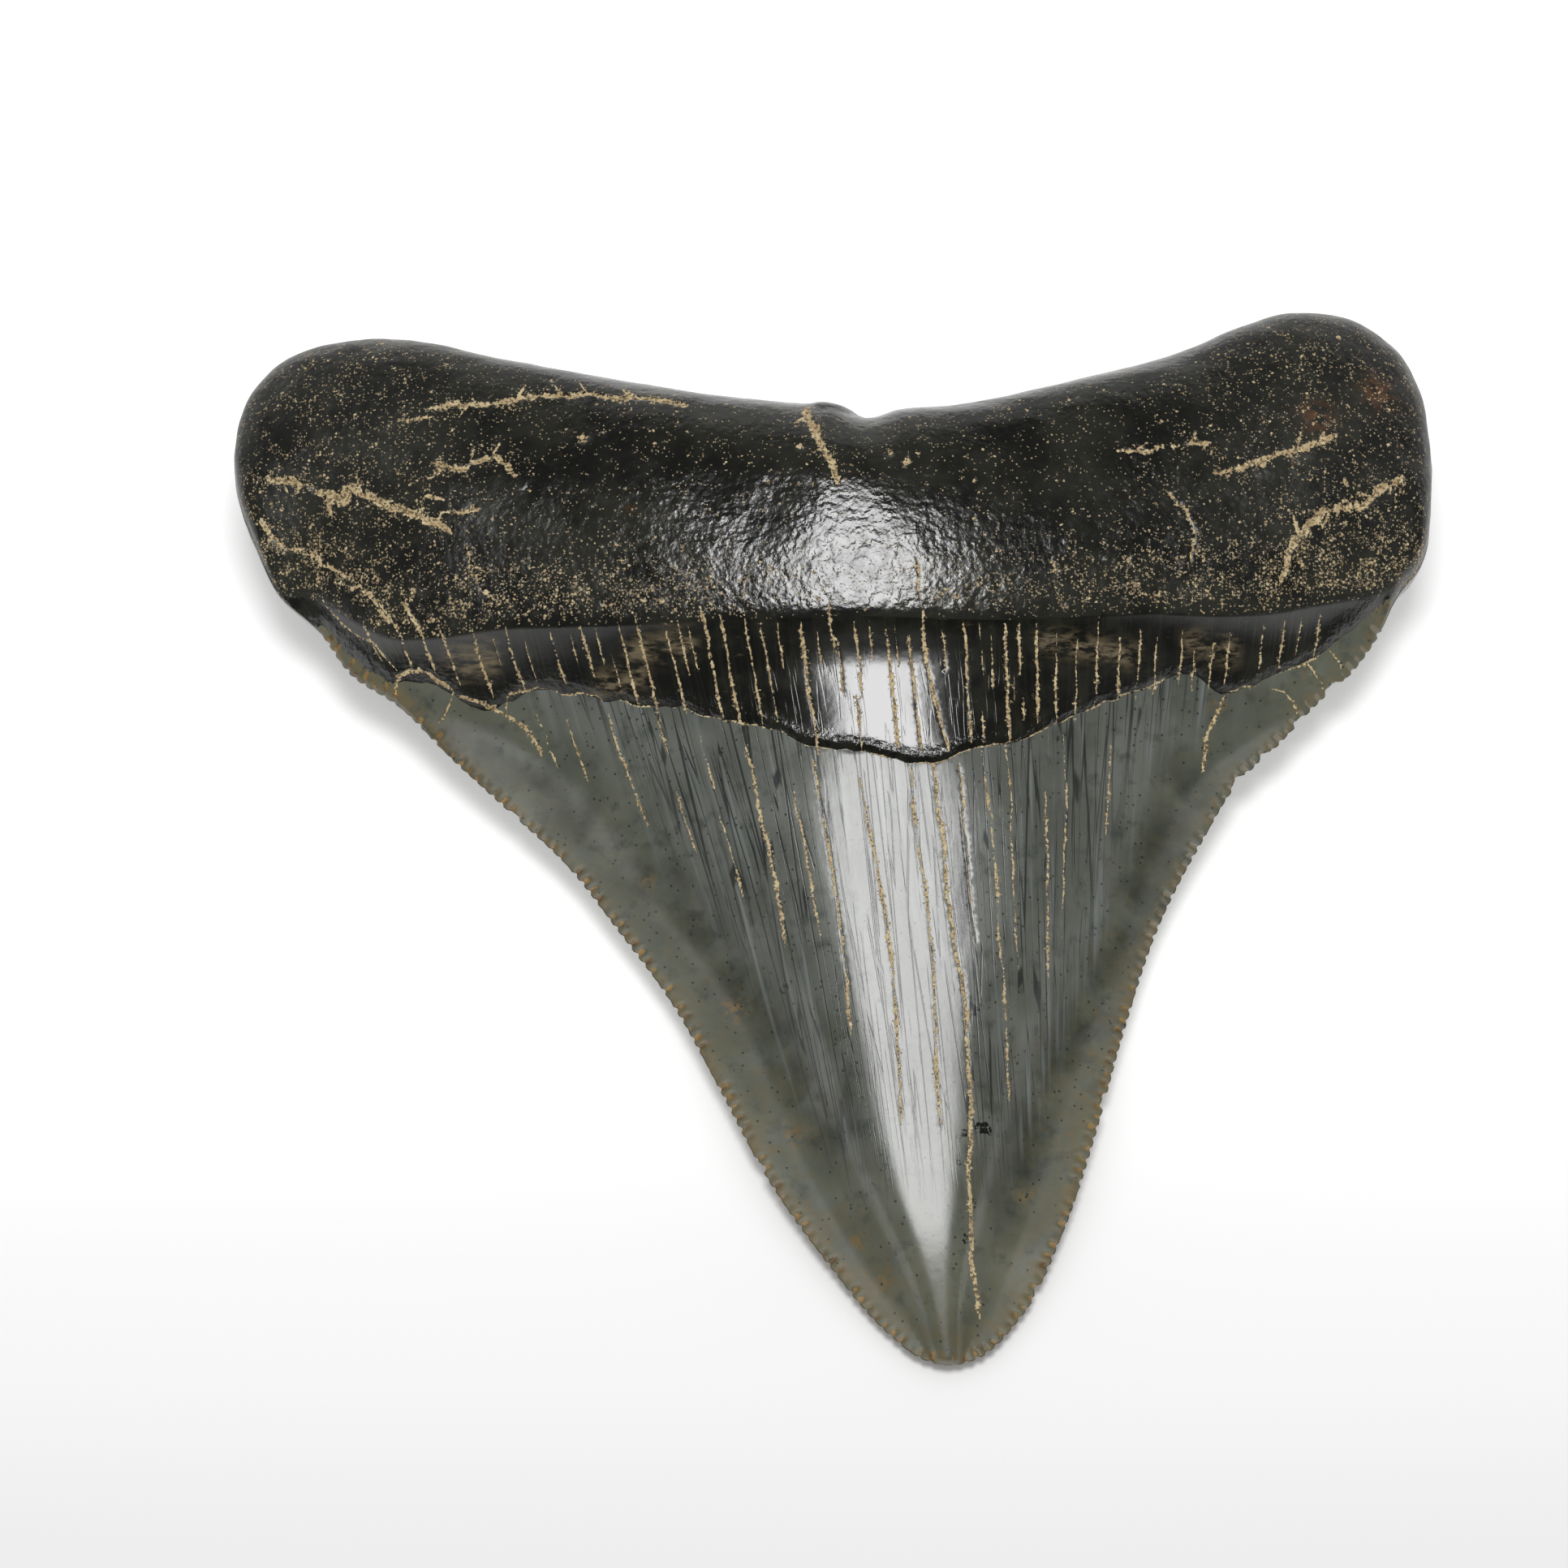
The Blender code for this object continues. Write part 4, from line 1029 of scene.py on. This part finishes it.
def new_material(name):
    """An empty material with its shader, and the tooth's own coordinates in millimetres."""
    made = bpy.data.materials.new(name)
    made.use_nodes = True
    tree = made.node_tree
    mesh.materials.append(made)
    in_metres = add(tree, "TexCoord", output="Object")
    where = add(tree, "VectorMath", in_metres, (1 / MM,) * 3, operation="MULTIPLY")
    return tree, tree.nodes["Principled BSDF"], where


print("mid grey is", [round(v, 3) for v in colour("808080")])

# %% [markdown]
# Two things come back in every finish, so each gets a function of a few nodes: soft patches
# at random places, and a thin layer of one colour over another.

# %% Patches and layers
def patches(tree, where, size, low, high, detail=3.0, rough=0.55):
    """Soft random patches of about the given size in mm, from 0 below low to 1 above high."""
    cloud = add(tree, "TexNoise", where, 1 / size, detail, rough)
    return add(tree, "MapRange", cloud, low, high, interpolation_type="SMOOTHSTEP")


def layer(tree, base, share, strength, tint):
    """A colour laid over another, as strongly as a share and a strength say together."""
    cover = add(tree, "Math", share, strength, operation="MULTIPLY")
    return add(tree, "Mix", cover, base, tint, data_type="RGBA")


print("patches of 0.5 mm have a scale of", 1 / 0.5)

# %% [markdown]
# ### Dried silt
# Pale sandy silt that dried in cracks and pits. It is a dull, open-grained crust, so it has
# almost no gloss. It is laid over the three tooth materials as their last layer, because
# its edge on the real tooth is soft and crumbly.

# %% Silt layer
SILT_LIGHT, SILT_MID, SILT_DARK = colour("c9b78f"), colour("ab946c"), colour("6c5b40")
GRAIN, GRAIN_REACH = 0.22, 0.55  # size of a grain in mm, and how far grains make the edge ragged
CRUST_START, CRUST_FULL = 0.66, 0.82
CRUST_ROUGH, CRUMB_HEIGHT = 0.85, 0.03
BUMP_FILTER = 0.1  # Blender's own value


def finish_with_silt(tree, shader, where, base, rough, height, specks):
    """Joins base colour, roughness and height to the shader under a crust of silt."""
    grain = patches(tree, where, GRAIN, 0.3, 0.7, 3.0, 0.6)
    ragged = add(tree, "Math", grain, GRAIN_REACH, operation="MULTIPLY")
    silt_here = add(tree, "Attribute", output="Fac", attribute_name="silt")
    edge = add(tree, "Math", silt_here, ragged, operation="ADD")
    crust = add(tree, "MapRange", edge, CRUST_START, CRUST_FULL, interpolation_type="SMOOTHSTEP")
    cover = add(tree, "Math", crust, specks, operation="MAXIMUM")
    cloud = patches(tree, where, 0.7, 0.35, 0.65)
    tint = add(tree, "Mix", cloud, SILT_MID, SILT_LIGHT, data_type="RGBA")
    # Darker grains of silt, and painted shade in the hollows of the crust, where the grain and so the
    # crumbs are lowest.
    hollow = add(tree, "MapRange", grain, 0.5, 0.3, interpolation_type="SMOOTHSTEP")
    tint = add(tree, "Mix", hollow, tint, SILT_DARK, data_type="RGBA")
    covered = add(tree, "Mix", cover, base, tint, data_type="RGBA")
    tree.links.new(covered, shader.inputs["Base Color"])
    dull = add(tree, "MapRange", cover, 0.0, 1.0, 0.0, CRUST_ROUGH, interpolation_type="SMOOTHSTEP")
    rougher = add(tree, "Math", rough, dull, operation="MAXIMUM")
    tree.links.new(rougher, shader.inputs["Roughness"])
    crumbs = add(tree, "Math", grain, cover, operation="MULTIPLY")
    crumbs = add(tree, "Math", crumbs, CRUMB_HEIGHT, operation="MULTIPLY")
    total = add(tree, "Math", height, crumbs, operation="ADD")
    bump = add(tree, "Bump", 1.0, MM, BUMP_FILTER, total)
    tree.links.new(bump, shader.inputs["Normal"])


print("silt is laid over root, bourlette and crown")

# %% [markdown]
# ### Root: fossil dentine
# Dentine stained black by phosphate and iron and worn smooth by sand, with the grain of
# leather. The eye sees black with a soft, broken sheen, and countless pale specks where
# silt sits in pores. The grain is 0.45 mm wide. The finest specks are drawn 0.15 mm wide, a
# little coarser than the real ones, so that they show.

# %% Root colours
tree, shader, where = new_material("root dentine, phosphate black, worn by sand")
dust_here = add(tree, "Attribute", output="Fac", attribute_name="dust")
cloud = patches(tree, where, 5.0, 0.35, 0.68)
base = add(tree, "Mix", cloud, colour("181916"), colour("292a24"), data_type="RGBA")
haze = patches(tree, where, 1.6, 0.45, 0.8, 5.0)
haze = add(tree, "Math", haze, dust_here, operation="MULTIPLY")
base = layer(tree, base, haze, 0.4, colour("3b382c"))
rust_here = add(tree, "Attribute", output="Fac", attribute_name="rust")
rust = add(tree, "Math", rust_here, patches(tree, where, 3.4, 0.7, 0.8, 4.0), operation="ADD")
rusty = add(tree, "Math", rust, patches(tree, where, 0.7, 0.4, 0.6, 3.0), operation="MULTIPLY")
base = layer(tree, base, rusty, 0.6, colour("6b4426"))
print("the root has", len(tree.nodes), "nodes for its colours")

# %% [markdown]
# The specks are cells of a Voronoi pattern, a share of which is filled. They crowd where
# the mesh remembers dust, and three sizes of them look less regular than one.

# %% Specks of silt in the root's pores
def speck_layer(cell, size, share, seed):
    """Irregular specks in cells of the given width in mm, where share of them are filled."""
    moved = add(tree, "VectorMath", where, (seed, seed, seed), operation="ADD")
    bent = add(tree, "TexNoise", moved, 1.2 / cell, 1.0, output="Color")
    bend = add(tree, "VectorMath", bent, (cell * 0.7,) * 3, operation="MULTIPLY")
    spot = add(tree, "VectorMath", moved, bend, operation="ADD")
    off_middle = add(tree, "TexVoronoi", spot, 1 / cell)
    dice = add(tree, "SeparateColor", off_middle.node.outputs["Color"])
    filled = add(tree, "Math", dice, share, operation="LESS_THAN")
    disc = add(tree, "MapRange", off_middle, size, size * 0.6, interpolation_type="SMOOTHSTEP")
    return add(tree, "Math", filled, disc, operation="MULTIPLY")


crowd = patches(tree, where, 1.2, 0.34, 0.62, 5.0, 0.65)
crowd = add(tree, "Math", crowd, dust_here, operation="MULTIPLY")
dense = add(tree, "Math", crowd, crowd, operation="MULTIPLY")
fine_share = add(tree, "Math", crowd, 0.62, operation="MULTIPLY")
middle_share = add(tree, "Math", dense, 0.5, operation="MULTIPLY")
coarse_share = add(tree, "Math", dense, 0.07, operation="MULTIPLY")
fine = add(tree, "Math", speck_layer(0.15, 0.55, fine_share, 3.0), 0.65, operation="MULTIPLY")
middle = speck_layer(0.27, 0.48, middle_share, 11.0)
coarse = speck_layer(0.7, 0.36, coarse_share, 23.0)
coarser = add(tree, "Math", middle, coarse, operation="MAXIMUM")
specks = add(tree, "Math", fine, coarser, operation="MAXIMUM")
print("with three sizes of specks it has", len(tree.nodes))

# %% Root leather and sheen
LEATHER, CREASE = 0.45, 0.6  # widths of the grain and of the creases between it, in mm
leather = add(tree, "TexNoise", where, 1 / LEATHER, 2.0, 0.45)
creases = add(tree, "TexVoronoi", where, 1 / CREASE, feature="SMOOTH_F1")
height = add(tree, "Math", leather, 0.048, operation="MULTIPLY")
crease_low = add(tree, "Math", creases, -0.02, operation="MULTIPLY")
height = add(tree, "Math", height, crease_low, operation="ADD")
speck_low = add(tree, "Math", specks, 0.015, operation="MULTIPLY")
height = add(tree, "Math", height, speck_low, operation="SUBTRACT")
cloud = add(tree, "TexNoise", where, 1 / 0.8, 4.0, 0.55)
rough = add(tree, "MapRange", cloud, 0.3, 0.7, 0.14, 0.24, interpolation_type="SMOOTHSTEP")
ends_here = add(tree, "Attribute", output="Fac", attribute_name="ends")
dull_ends = add(tree, "Math", ends_here, 0.16, operation="MULTIPLY")
rough = add(tree, "Math", rough, dull_ends, operation="ADD")
finish_with_silt(tree, shader, where, base, rough, height, specks)
shader.inputs["IOR"].default_value = 1.6
print("root dentine has", len(tree.nodes), "nodes")

# %% [markdown]
# ### Bourlette: thin black enameloid
# A band where the enameloid is only a thin skin over dark dentine. It kept its natural
# polish, so the eye sees a deep black gloss with a sharp highlight, broken by cracks, and
# smears of dried silt that run across the tooth.

# %% Bourlette colours
tree, shader, where = new_material("bourlette enameloid, black, naturally polished")
fan_spot = add(tree, "Attribute", output="Vector", attribute_name="fan")
cloud = patches(tree, where, 2.4, 0.4, 0.7)
base = add(tree, "Mix", cloud, colour("141512"), colour("24251f"), data_type="RGBA")
across = add(tree, "VectorMath", where, (0.35, 1.6, 1.6), operation="MULTIPLY")
wisps = add(tree, "TexNoise", across, 1 / 0.9, 6.0, 0.65)
thick_wisps = add(tree, "MapRange", wisps, 0.42, 0.6, interpolation_type="SMOOTHSTEP")
smear_here = add(tree, "Attribute", output="Fac", attribute_name="smear")
thick_smear = add(tree, "Math", smear_here, thick_wisps, operation="MULTIPLY")
thin_smear = add(tree, "MapRange", wisps, 0.62, 0.78, interpolation_type="SMOOTHSTEP")
thin_smear = add(tree, "Math", thin_smear, 0.5, operation="MULTIPLY")
smears = add(tree, "Math", thick_smear, thin_smear, operation="MAXIMUM")
base = layer(tree, base, smears, 0.75, colour("7a6b4e"))
print("the bourlette has", len(tree.nodes), "nodes for its colours")

# %% Bourlette hairlines and polish
MIDDLE_X = 4.0  # the polish is best on the crest of the ridge
hair_spot = add(tree, "VectorMath", fan_spot, (1, 0.06, 1), operation="MULTIPLY")
hair = add(tree, "TexNoise", hair_spot, 1 / 0.9, 3.0, 0.55)
off_hair = add(tree, "Math", hair, 0.5, operation="SUBTRACT")
off_hair = add(tree, "Math", off_hair, operation="ABSOLUTE")
hairlines = add(tree, "MapRange", off_hair, 0.03, 0.01, interpolation_type="SMOOTHSTEP")
base = layer(tree, base, hairlines, 0.03, SILT_DARK)
on_rim = add(tree, "Attribute", output="Fac", attribute_name="rim")
wrinkles = add(tree, "TexNoise", where, 1 / 0.4, 3.0, 0.55)
wrinkles = add(tree, "Math", wrinkles, on_rim, operation="MULTIPLY")
wrinkles = add(tree, "Math", wrinkles, 0.12, operation="MULTIPLY")
swell = add(tree, "TexNoise", where, 1 / 0.9, 3.0, 0.55)
swell = add(tree, "Math", swell, 0.01, operation="MULTIPLY")
height = add(tree, "Math", swell, wrinkles, operation="ADD")
hair_low = add(tree, "Math", hairlines, 0.004, operation="MULTIPLY")
height = add(tree, "Math", height, hair_low, operation="SUBTRACT")
off_middle = add(tree, "Math", add(tree, "SeparateXYZ", where), MIDDLE_X, operation="SUBTRACT")
off_middle = add(tree, "Math", off_middle, operation="ABSOLUTE")
worn = add(tree, "MapRange", off_middle, 7.0, 16.0, 0.0, 0.4, interpolation_type="SMOOTHSTEP")
dulled = add(tree, "Math", smears, worn, operation="MAXIMUM")
rough = add(tree, "MapRange", dulled, 0.0, 1.0, 0.17, 0.55, interpolation_type="SMOOTHSTEP")
finish_with_silt(tree, shader, where, base, rough, height, 0.0)
shader.inputs["IOR"].default_value = 1.63
print("bourlette enameloid has", len(tree.nodes), "nodes")

# %% [markdown]
# ### Crown: enameloid
# Fluorapatite, as hard as a gemstone and polished by use and by sand. Iron and phosphate tint it
# grey-green, and shade is painted in darker where the ridge meets the margins. Towards the edges it
# turns olive and brown. The slots between the serrations hold rust-brown stain, which is greyer on the
# right shoulder.

# %% Crown colours
tree, shader, where = new_material("crown enameloid, grey-green, polished")
ridge_here = add(tree, "Attribute", output="Fac", attribute_name="ridge")
margin_here = add(tree, "Attribute", output="Fac", attribute_name="margin")
along_x = add(tree, "SeparateXYZ", where)
along_y = along_x.node.outputs["Y"]
cloud = patches(tree, where, 6.0, 0.35, 0.7)
on_margin = add(tree, "Mix", cloud, colour("53574d"), colour("66695d"), data_type="RGBA")
on_ridge = add(tree, "Mix", cloud, colour("545750"), colour("676a64"), data_type="RGBA")
off_tip = add(tree, "MapRange", along_y, -31.0, -20.0, interpolation_type="SMOOTHSTEP")
ridge_share = add(tree, "MapRange", ridge_here, 0.02, 0.3, interpolation_type="SMOOTHSTEP")
ridge_share = add(tree, "Math", ridge_share, off_tip, operation="MULTIPLY")
base = add(tree, "Mix", ridge_share, on_margin, on_ridge, data_type="RGBA")
cloud = patches(tree, where, 1.4, 0.5, 0.75, 5.0)
base = add(tree, "Mix", cloud, base, colour("464b44"), data_type="RGBA")
# Painted shade: the crown's colour is darkened in patches along the valleys where the ridge meets the
# margins.
cloud = add(tree, "TexNoise", where, 1 / 3.5, 4.0, 0.55)
cloud = add(tree, "MapRange", cloud, 0.3, 0.65, 0.25, 1.0, interpolation_type="SMOOTHSTEP")
valley_shade_here = add(tree, "Attribute", output="Fac", attribute_name="valley_shade")
painted_valley_shade = add(tree, "Math", valley_shade_here, cloud, operation="MULTIPLY")
base = layer(tree, base, painted_valley_shade, 0.72, colour("1f241f"))
print("the crown has", len(tree.nodes), "nodes for its ground colours")

# %% Crown stains towards the edges
near_tip = add(tree, "MapRange", along_y, -2.0, -24.0, 0.4, 1.0, interpolation_type="SMOOTHSTEP")
olive = add(tree, "Math", margin_here, near_tip, operation="MULTIPLY")
olive = add(tree, "Math", olive, patches(tree, where, 2.2, 0.34, 0.6, 5.0), operation="MULTIPLY")
base = layer(tree, base, olive, 0.8, colour("625c42"))
brown = add(tree, "MapRange", margin_here, 0.1, 0.7, interpolation_type="SMOOTHSTEP")
brown = add(tree, "Math", brown, patches(tree, where, 1.0, 0.52, 0.7, 5.0), operation="MULTIPLY")
brown_strength = add(tree, "Math", near_tip, 0.5, operation="MULTIPLY")
base = layer(tree, base, brown, brown_strength, colour("6a5836"))
rust_here = add(tree, "Attribute", output="Fac", attribute_name="rust")
rust = add(tree, "Math", rust_here, patches(tree, where, 0.5, 0.42, 0.58, 4.0), operation="MULTIPLY")
base = layer(tree, base, rust, 0.6, colour("7d6238"))
print("with its stains it has", len(tree.nodes))

# %% [markdown]
# The eye sees a soft, stretched highlight on the crown, because fine threads run down to
# the tip. The threads are 0.1 mm apart and are drawn six to ten times as coarse, so that
# they show. They are the borders between the cells of a pattern that is drawn out along
# the fan.

# %% Crown threads
fan_spot = add(tree, "Attribute", output="Vector", attribute_name="fan")


def stretched(along):
    """The fan's own coordinates, with patterns drawn out along the threads by this share."""
    return add(tree, "VectorMath", fan_spot, (1, along, 1), operation="MULTIPLY")


def thread_lines(size, along, half, breaks):
    """Thin dark lines along the threads, broken into dashes. Sizes are in millimetres."""
    off_line = add(tree, "TexVoronoi", stretched(along), 1 / size, feature="DISTANCE_TO_EDGE")
    dashes = patches(tree, stretched(0.12), size * 1.3, breaks, breaks + 0.08, 2.0)
    outer, inner = half / size, half * 0.4 / size
    line = add(tree, "MapRange", off_line, outer, inner, interpolation_type="SMOOTHSTEP")
    return add(tree, "Math", line, dashes, operation="MULTIPLY")


streaks = patches(tree, stretched(0.045), 0.6, 0.5, 0.8, 3.0)
base = layer(tree, base, streaks, ridge_share, colour("757b79"))
wide_lines = thread_lines(1.0, 0.025, 0.035, 0.4)
narrow_lines = thread_lines(0.6, 0.035, 0.025, 0.45)
lines = add(tree, "Math", wide_lines, narrow_lines, operation="MAXIMUM")
lines = add(tree, "Math", lines, off_tip, operation="MULTIPLY")
on_ridge_only = add(tree, "MapRange", ridge_here, 0.1, 0.5, interpolation_type="SMOOTHSTEP")
lines = add(tree, "Math", lines, on_ridge_only, operation="MULTIPLY")
base = layer(tree, base, lines, 0.8, colour("1f2222"))
print("with its threads it has", len(tree.nodes))

# %% Crown dots and mineral spots
off_dot = add(tree, "TexVoronoi", where, 1 / 0.5)
dot_pick = add(tree, "SeparateColor", off_dot.node.outputs["Color"])
dot = add(tree, "MapRange", off_dot, 0.24, 0.12, interpolation_type="SMOOTHSTEP")
picked = add(tree, "Math", dot_pick, 0.4, operation="LESS_THAN")
dots = add(tree, "Math", dot, picked, operation="MULTIPLY")
base = layer(tree, base, dots, 0.75, colour("1e201c"))
spot_here = add(tree, "Attribute", output="Fac", attribute_name="spot")
spots = add(tree, "Math", spot_here, patches(tree, where, 0.35, 0.3, 0.7, 3.0), operation="ADD")
spots = add(tree, "MapRange", spots, 1.0, 1.15, interpolation_type="SMOOTHSTEP")
base = add(tree, "Mix", spots, base, colour("171816"), data_type="RGBA")
print("with its dots it has", len(tree.nodes))

# %% Crown serration stain
cloud = patches(tree, where, 1.1, 0.4, 0.6, 3.0)
slot_tint = add(tree, "Mix", cloud, colour("8f7342"), colour("5c482d"), data_type="RGBA")
right = add(tree, "MapRange", along_x, 12.0, 20.0, interpolation_type="SMOOTHSTEP")
shoulder = add(tree, "MapRange", along_y, -14.0, -4.0, interpolation_type="SMOOTHSTEP")
shoulder = add(tree, "Math", right, shoulder, operation="MULTIPLY")
slot_tint = add(tree, "Mix", shoulder, slot_tint, colour("7a7466"), data_type="RGBA")
edge_stain = add(tree, "MapRange", margin_here, 0.68, 0.9, interpolation_type="SMOOTHSTEP")
cloud = patches(tree, where, 0.8, 0.4, 0.62, 4.0)
edge_stain = add(tree, "Math", edge_stain, cloud, operation="MULTIPLY")
base = layer(tree, base, edge_stain, 0.6, colour("6f6144"))
slot_here = add(tree, "Attribute", output="Fac", attribute_name="slot")
cloud = patches(tree, where, 0.9, 0.3, 0.55, 4.0)
slot_mark = add(tree, "Math", slot_here, cloud, operation="MULTIPLY")
slot_mark = add(tree, "MapRange", slot_mark, 0.15, 0.5, 0.0, 0.85, interpolation_type="SMOOTHSTEP")
base = add(tree, "Mix", slot_mark, base, slot_tint, data_type="RGBA")
print("with its stained slots it has", len(tree.nodes))

# %% Crown ripples and polish
ripples = add(tree, "TexNoise", stretched(0.08), 1 / 0.3, 2.0, 0.55)
ripples = add(tree, "Math", ripples, ridge_share, operation="MULTIPLY")
height = add(tree, "Math", ripples, 0.005, operation="MULTIPLY")
line_low = add(tree, "Math", lines, 0.006, operation="MULTIPLY")
height = add(tree, "Math", height, line_low, operation="SUBTRACT")
swell = add(tree, "TexNoise", where, 1 / 0.6, 2.0, 0.55)
swell = add(tree, "Math", swell, 0.008, operation="MULTIPLY")
height = add(tree, "Math", height, swell, operation="ADD")
rough = add(tree, "MapRange", ridge_here, 0.2, 0.8, 0.36, 0.27, interpolation_type="SMOOTHSTEP")
# The worn margins have lost their polish.
gloss = add(tree, "MapRange", ridge_here, 0.05, 0.5, 0.15, 0.5, interpolation_type="SMOOTHSTEP")
tree.links.new(gloss, shader.inputs["Specular IOR Level"])
finish_with_silt(tree, shader, where, base, rough, height, 0.0)
shader.inputs["IOR"].default_value = 1.63
print("crown enameloid has", len(tree.nodes), "nodes")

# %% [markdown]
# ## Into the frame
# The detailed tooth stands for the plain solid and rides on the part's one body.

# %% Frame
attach(tooth, "root")
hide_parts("tooth")
print("the piece has", len(mesh.polygons), "triangles")

# %% [markdown]
# ## Studio
# A plain white card, one soft box above and a pale wall low behind. The card gives off a little light of
# its own from the middle to the back, as if it was lit from behind, so the tooth's shadow on it stays
# faint. Towards the front its colour is painted darker, as painted shade where less light falls.

# %% White card
CARD_HALF, CARD_DROP = 3.0, 0.00002  # metres
GLOW = 0.28


def white_card():
    """A plain pale card that the tooth lies on."""
    flat = bpy.data.meshes.new("ground")
    sides = [(-1, -1), (1, -1), (1, 1), (-1, 1)]
    flat.from_pydata([(x * CARD_HALF, y * CARD_HALF, 0) for x, y in sides], [], [(0, 1, 2, 3)])
    made = bpy.data.materials.new("white card")
    made.use_nodes = True
    tree = made.node_tree
    card = tree.nodes["Principled BSDF"]
    spot = add(tree, "TexCoord", output="Object")
    towards_back = add(tree, "SeparateXYZ", spot, output="Y")
    # Painted shade: the card's colour is darker towards the front.
    near = add(tree, "MapRange", towards_back, -0.055, -0.035, interpolation_type="SMOOTHSTEP")
    painted_front_shade = add(tree, "Mix", near, colour("e9e9e9"), colour("f3f3f3"), data_type="RGBA")
    tree.links.new(painted_front_shade, card.inputs["Base Color"])
    glow = add(tree, "MapRange", towards_back, -0.045, -0.005, interpolation_type="SMOOTHSTEP")
    glow = add(tree, "Math", glow, 2.0, operation="POWER")
    glow = add(tree, "Math", glow, GLOW, operation="MULTIPLY")
    tree.links.new(glow, card.inputs["Emission Strength"])
    card.inputs["Emission Color"].default_value = colour("ffffff")
    card.inputs["Roughness"].default_value = 0.9
    card.inputs["Specular IOR Level"].default_value = 0.1
    flat.materials.append(made)
    floor = bpy.data.objects.new("ground", flat)
    bpy.context.scene.collection.objects.link(floor)
    return floor


floor = white_card()
floor.location.z = -CARD_DROP
print("the card is", 2 * CARD_HALF, "m wide")

# %% [markdown]
# A black glossy thing shows only what it reflects, so the ceiling stays dark round the soft
# box, and that gives the tooth its crisp, bright patches. The world is therefore three
# worlds in one: what the camera sees, what lights the dull surfaces, and what the glossy
# ones mirror.

# %% Soft box and world
SOFT_BOX, BOX_HEIGHT, BOX_POWER = 0.2, 0.6, 1.75
FILL, CEILING, WALL = 0.6, 0.02, 0.5
light = bpy.data.lights.new("soft box", "AREA")
light.shape = "SQUARE"
light.size = SOFT_BOX
light.energy = BOX_POWER
box = bpy.data.objects.new("soft box", light)
box.location = (0.0, 0.0, BOX_HEIGHT)
bpy.context.scene.collection.objects.link(box)

world = bpy.data.worlds.new("studio")
bpy.context.scene.world = world
world.use_nodes = True
sky = world.node_tree
sky.nodes.clear()
way = add(sky, "TexCoord", output="Generated")
back = add(sky, "SeparateXYZ", way, output="Y")
up = back.node.outputs["Z"]
low_down = add(sky, "MapRange", up, 0.75, 0.25, interpolation_type="SMOOTHSTEP")
behind = add(sky, "MapRange", back, 0.1, 0.6, interpolation_type="SMOOTHSTEP")
wall = add(sky, "Math", low_down, behind, operation="MULTIPLY")
glare = add(sky, "MapRange", wall, 0.0, 1.0, CEILING, WALL, interpolation_type="SMOOTHSTEP")
mirrored = add(sky, "Background", colour("ffffff"), glare)
fill = add(sky, "Background", colour("fdfdfd"), FILL)
pale = add(sky, "Background", colour("f6f6f7"), 1.0)
from_camera = add(sky, "LightPath", output="Is Camera Ray")
from_dull = from_camera.node.outputs["Is Diffuse Ray"]
unseen = add(sky, "MixShader", from_dull, mirrored, fill)
seen = add(sky, "MixShader", from_camera, unseen, pale)
add(sky, "OutputWorld", seen)
print("the world has", len(sky.nodes), "nodes")

# %% Camera
ELEVATION, AWAY = math.radians(62), 0.45
TARGET = Vector((-0.0035, 0.0034, 0.005))
HALF_VIEW = 0.0552  # half of what the frame shows across, at the target
lens = bpy.data.cameras.new("camera")
lens.angle = 2 * math.atan(HALF_VIEW / AWAY)
lens.clip_start = 0.01
camera = bpy.data.objects.new("camera", lens)
camera.location = TARGET + AWAY * Vector((0, -math.cos(ELEVATION), math.sin(ELEVATION)))
camera.rotation_euler = (math.radians(90) - ELEVATION, 0, 0)
bpy.context.scene.collection.objects.link(camera)
bpy.context.scene.camera = camera
bpy.context.scene.view_settings.view_transform = "Standard"
print("the camera looks down at", round(math.degrees(ELEVATION)), "degrees")
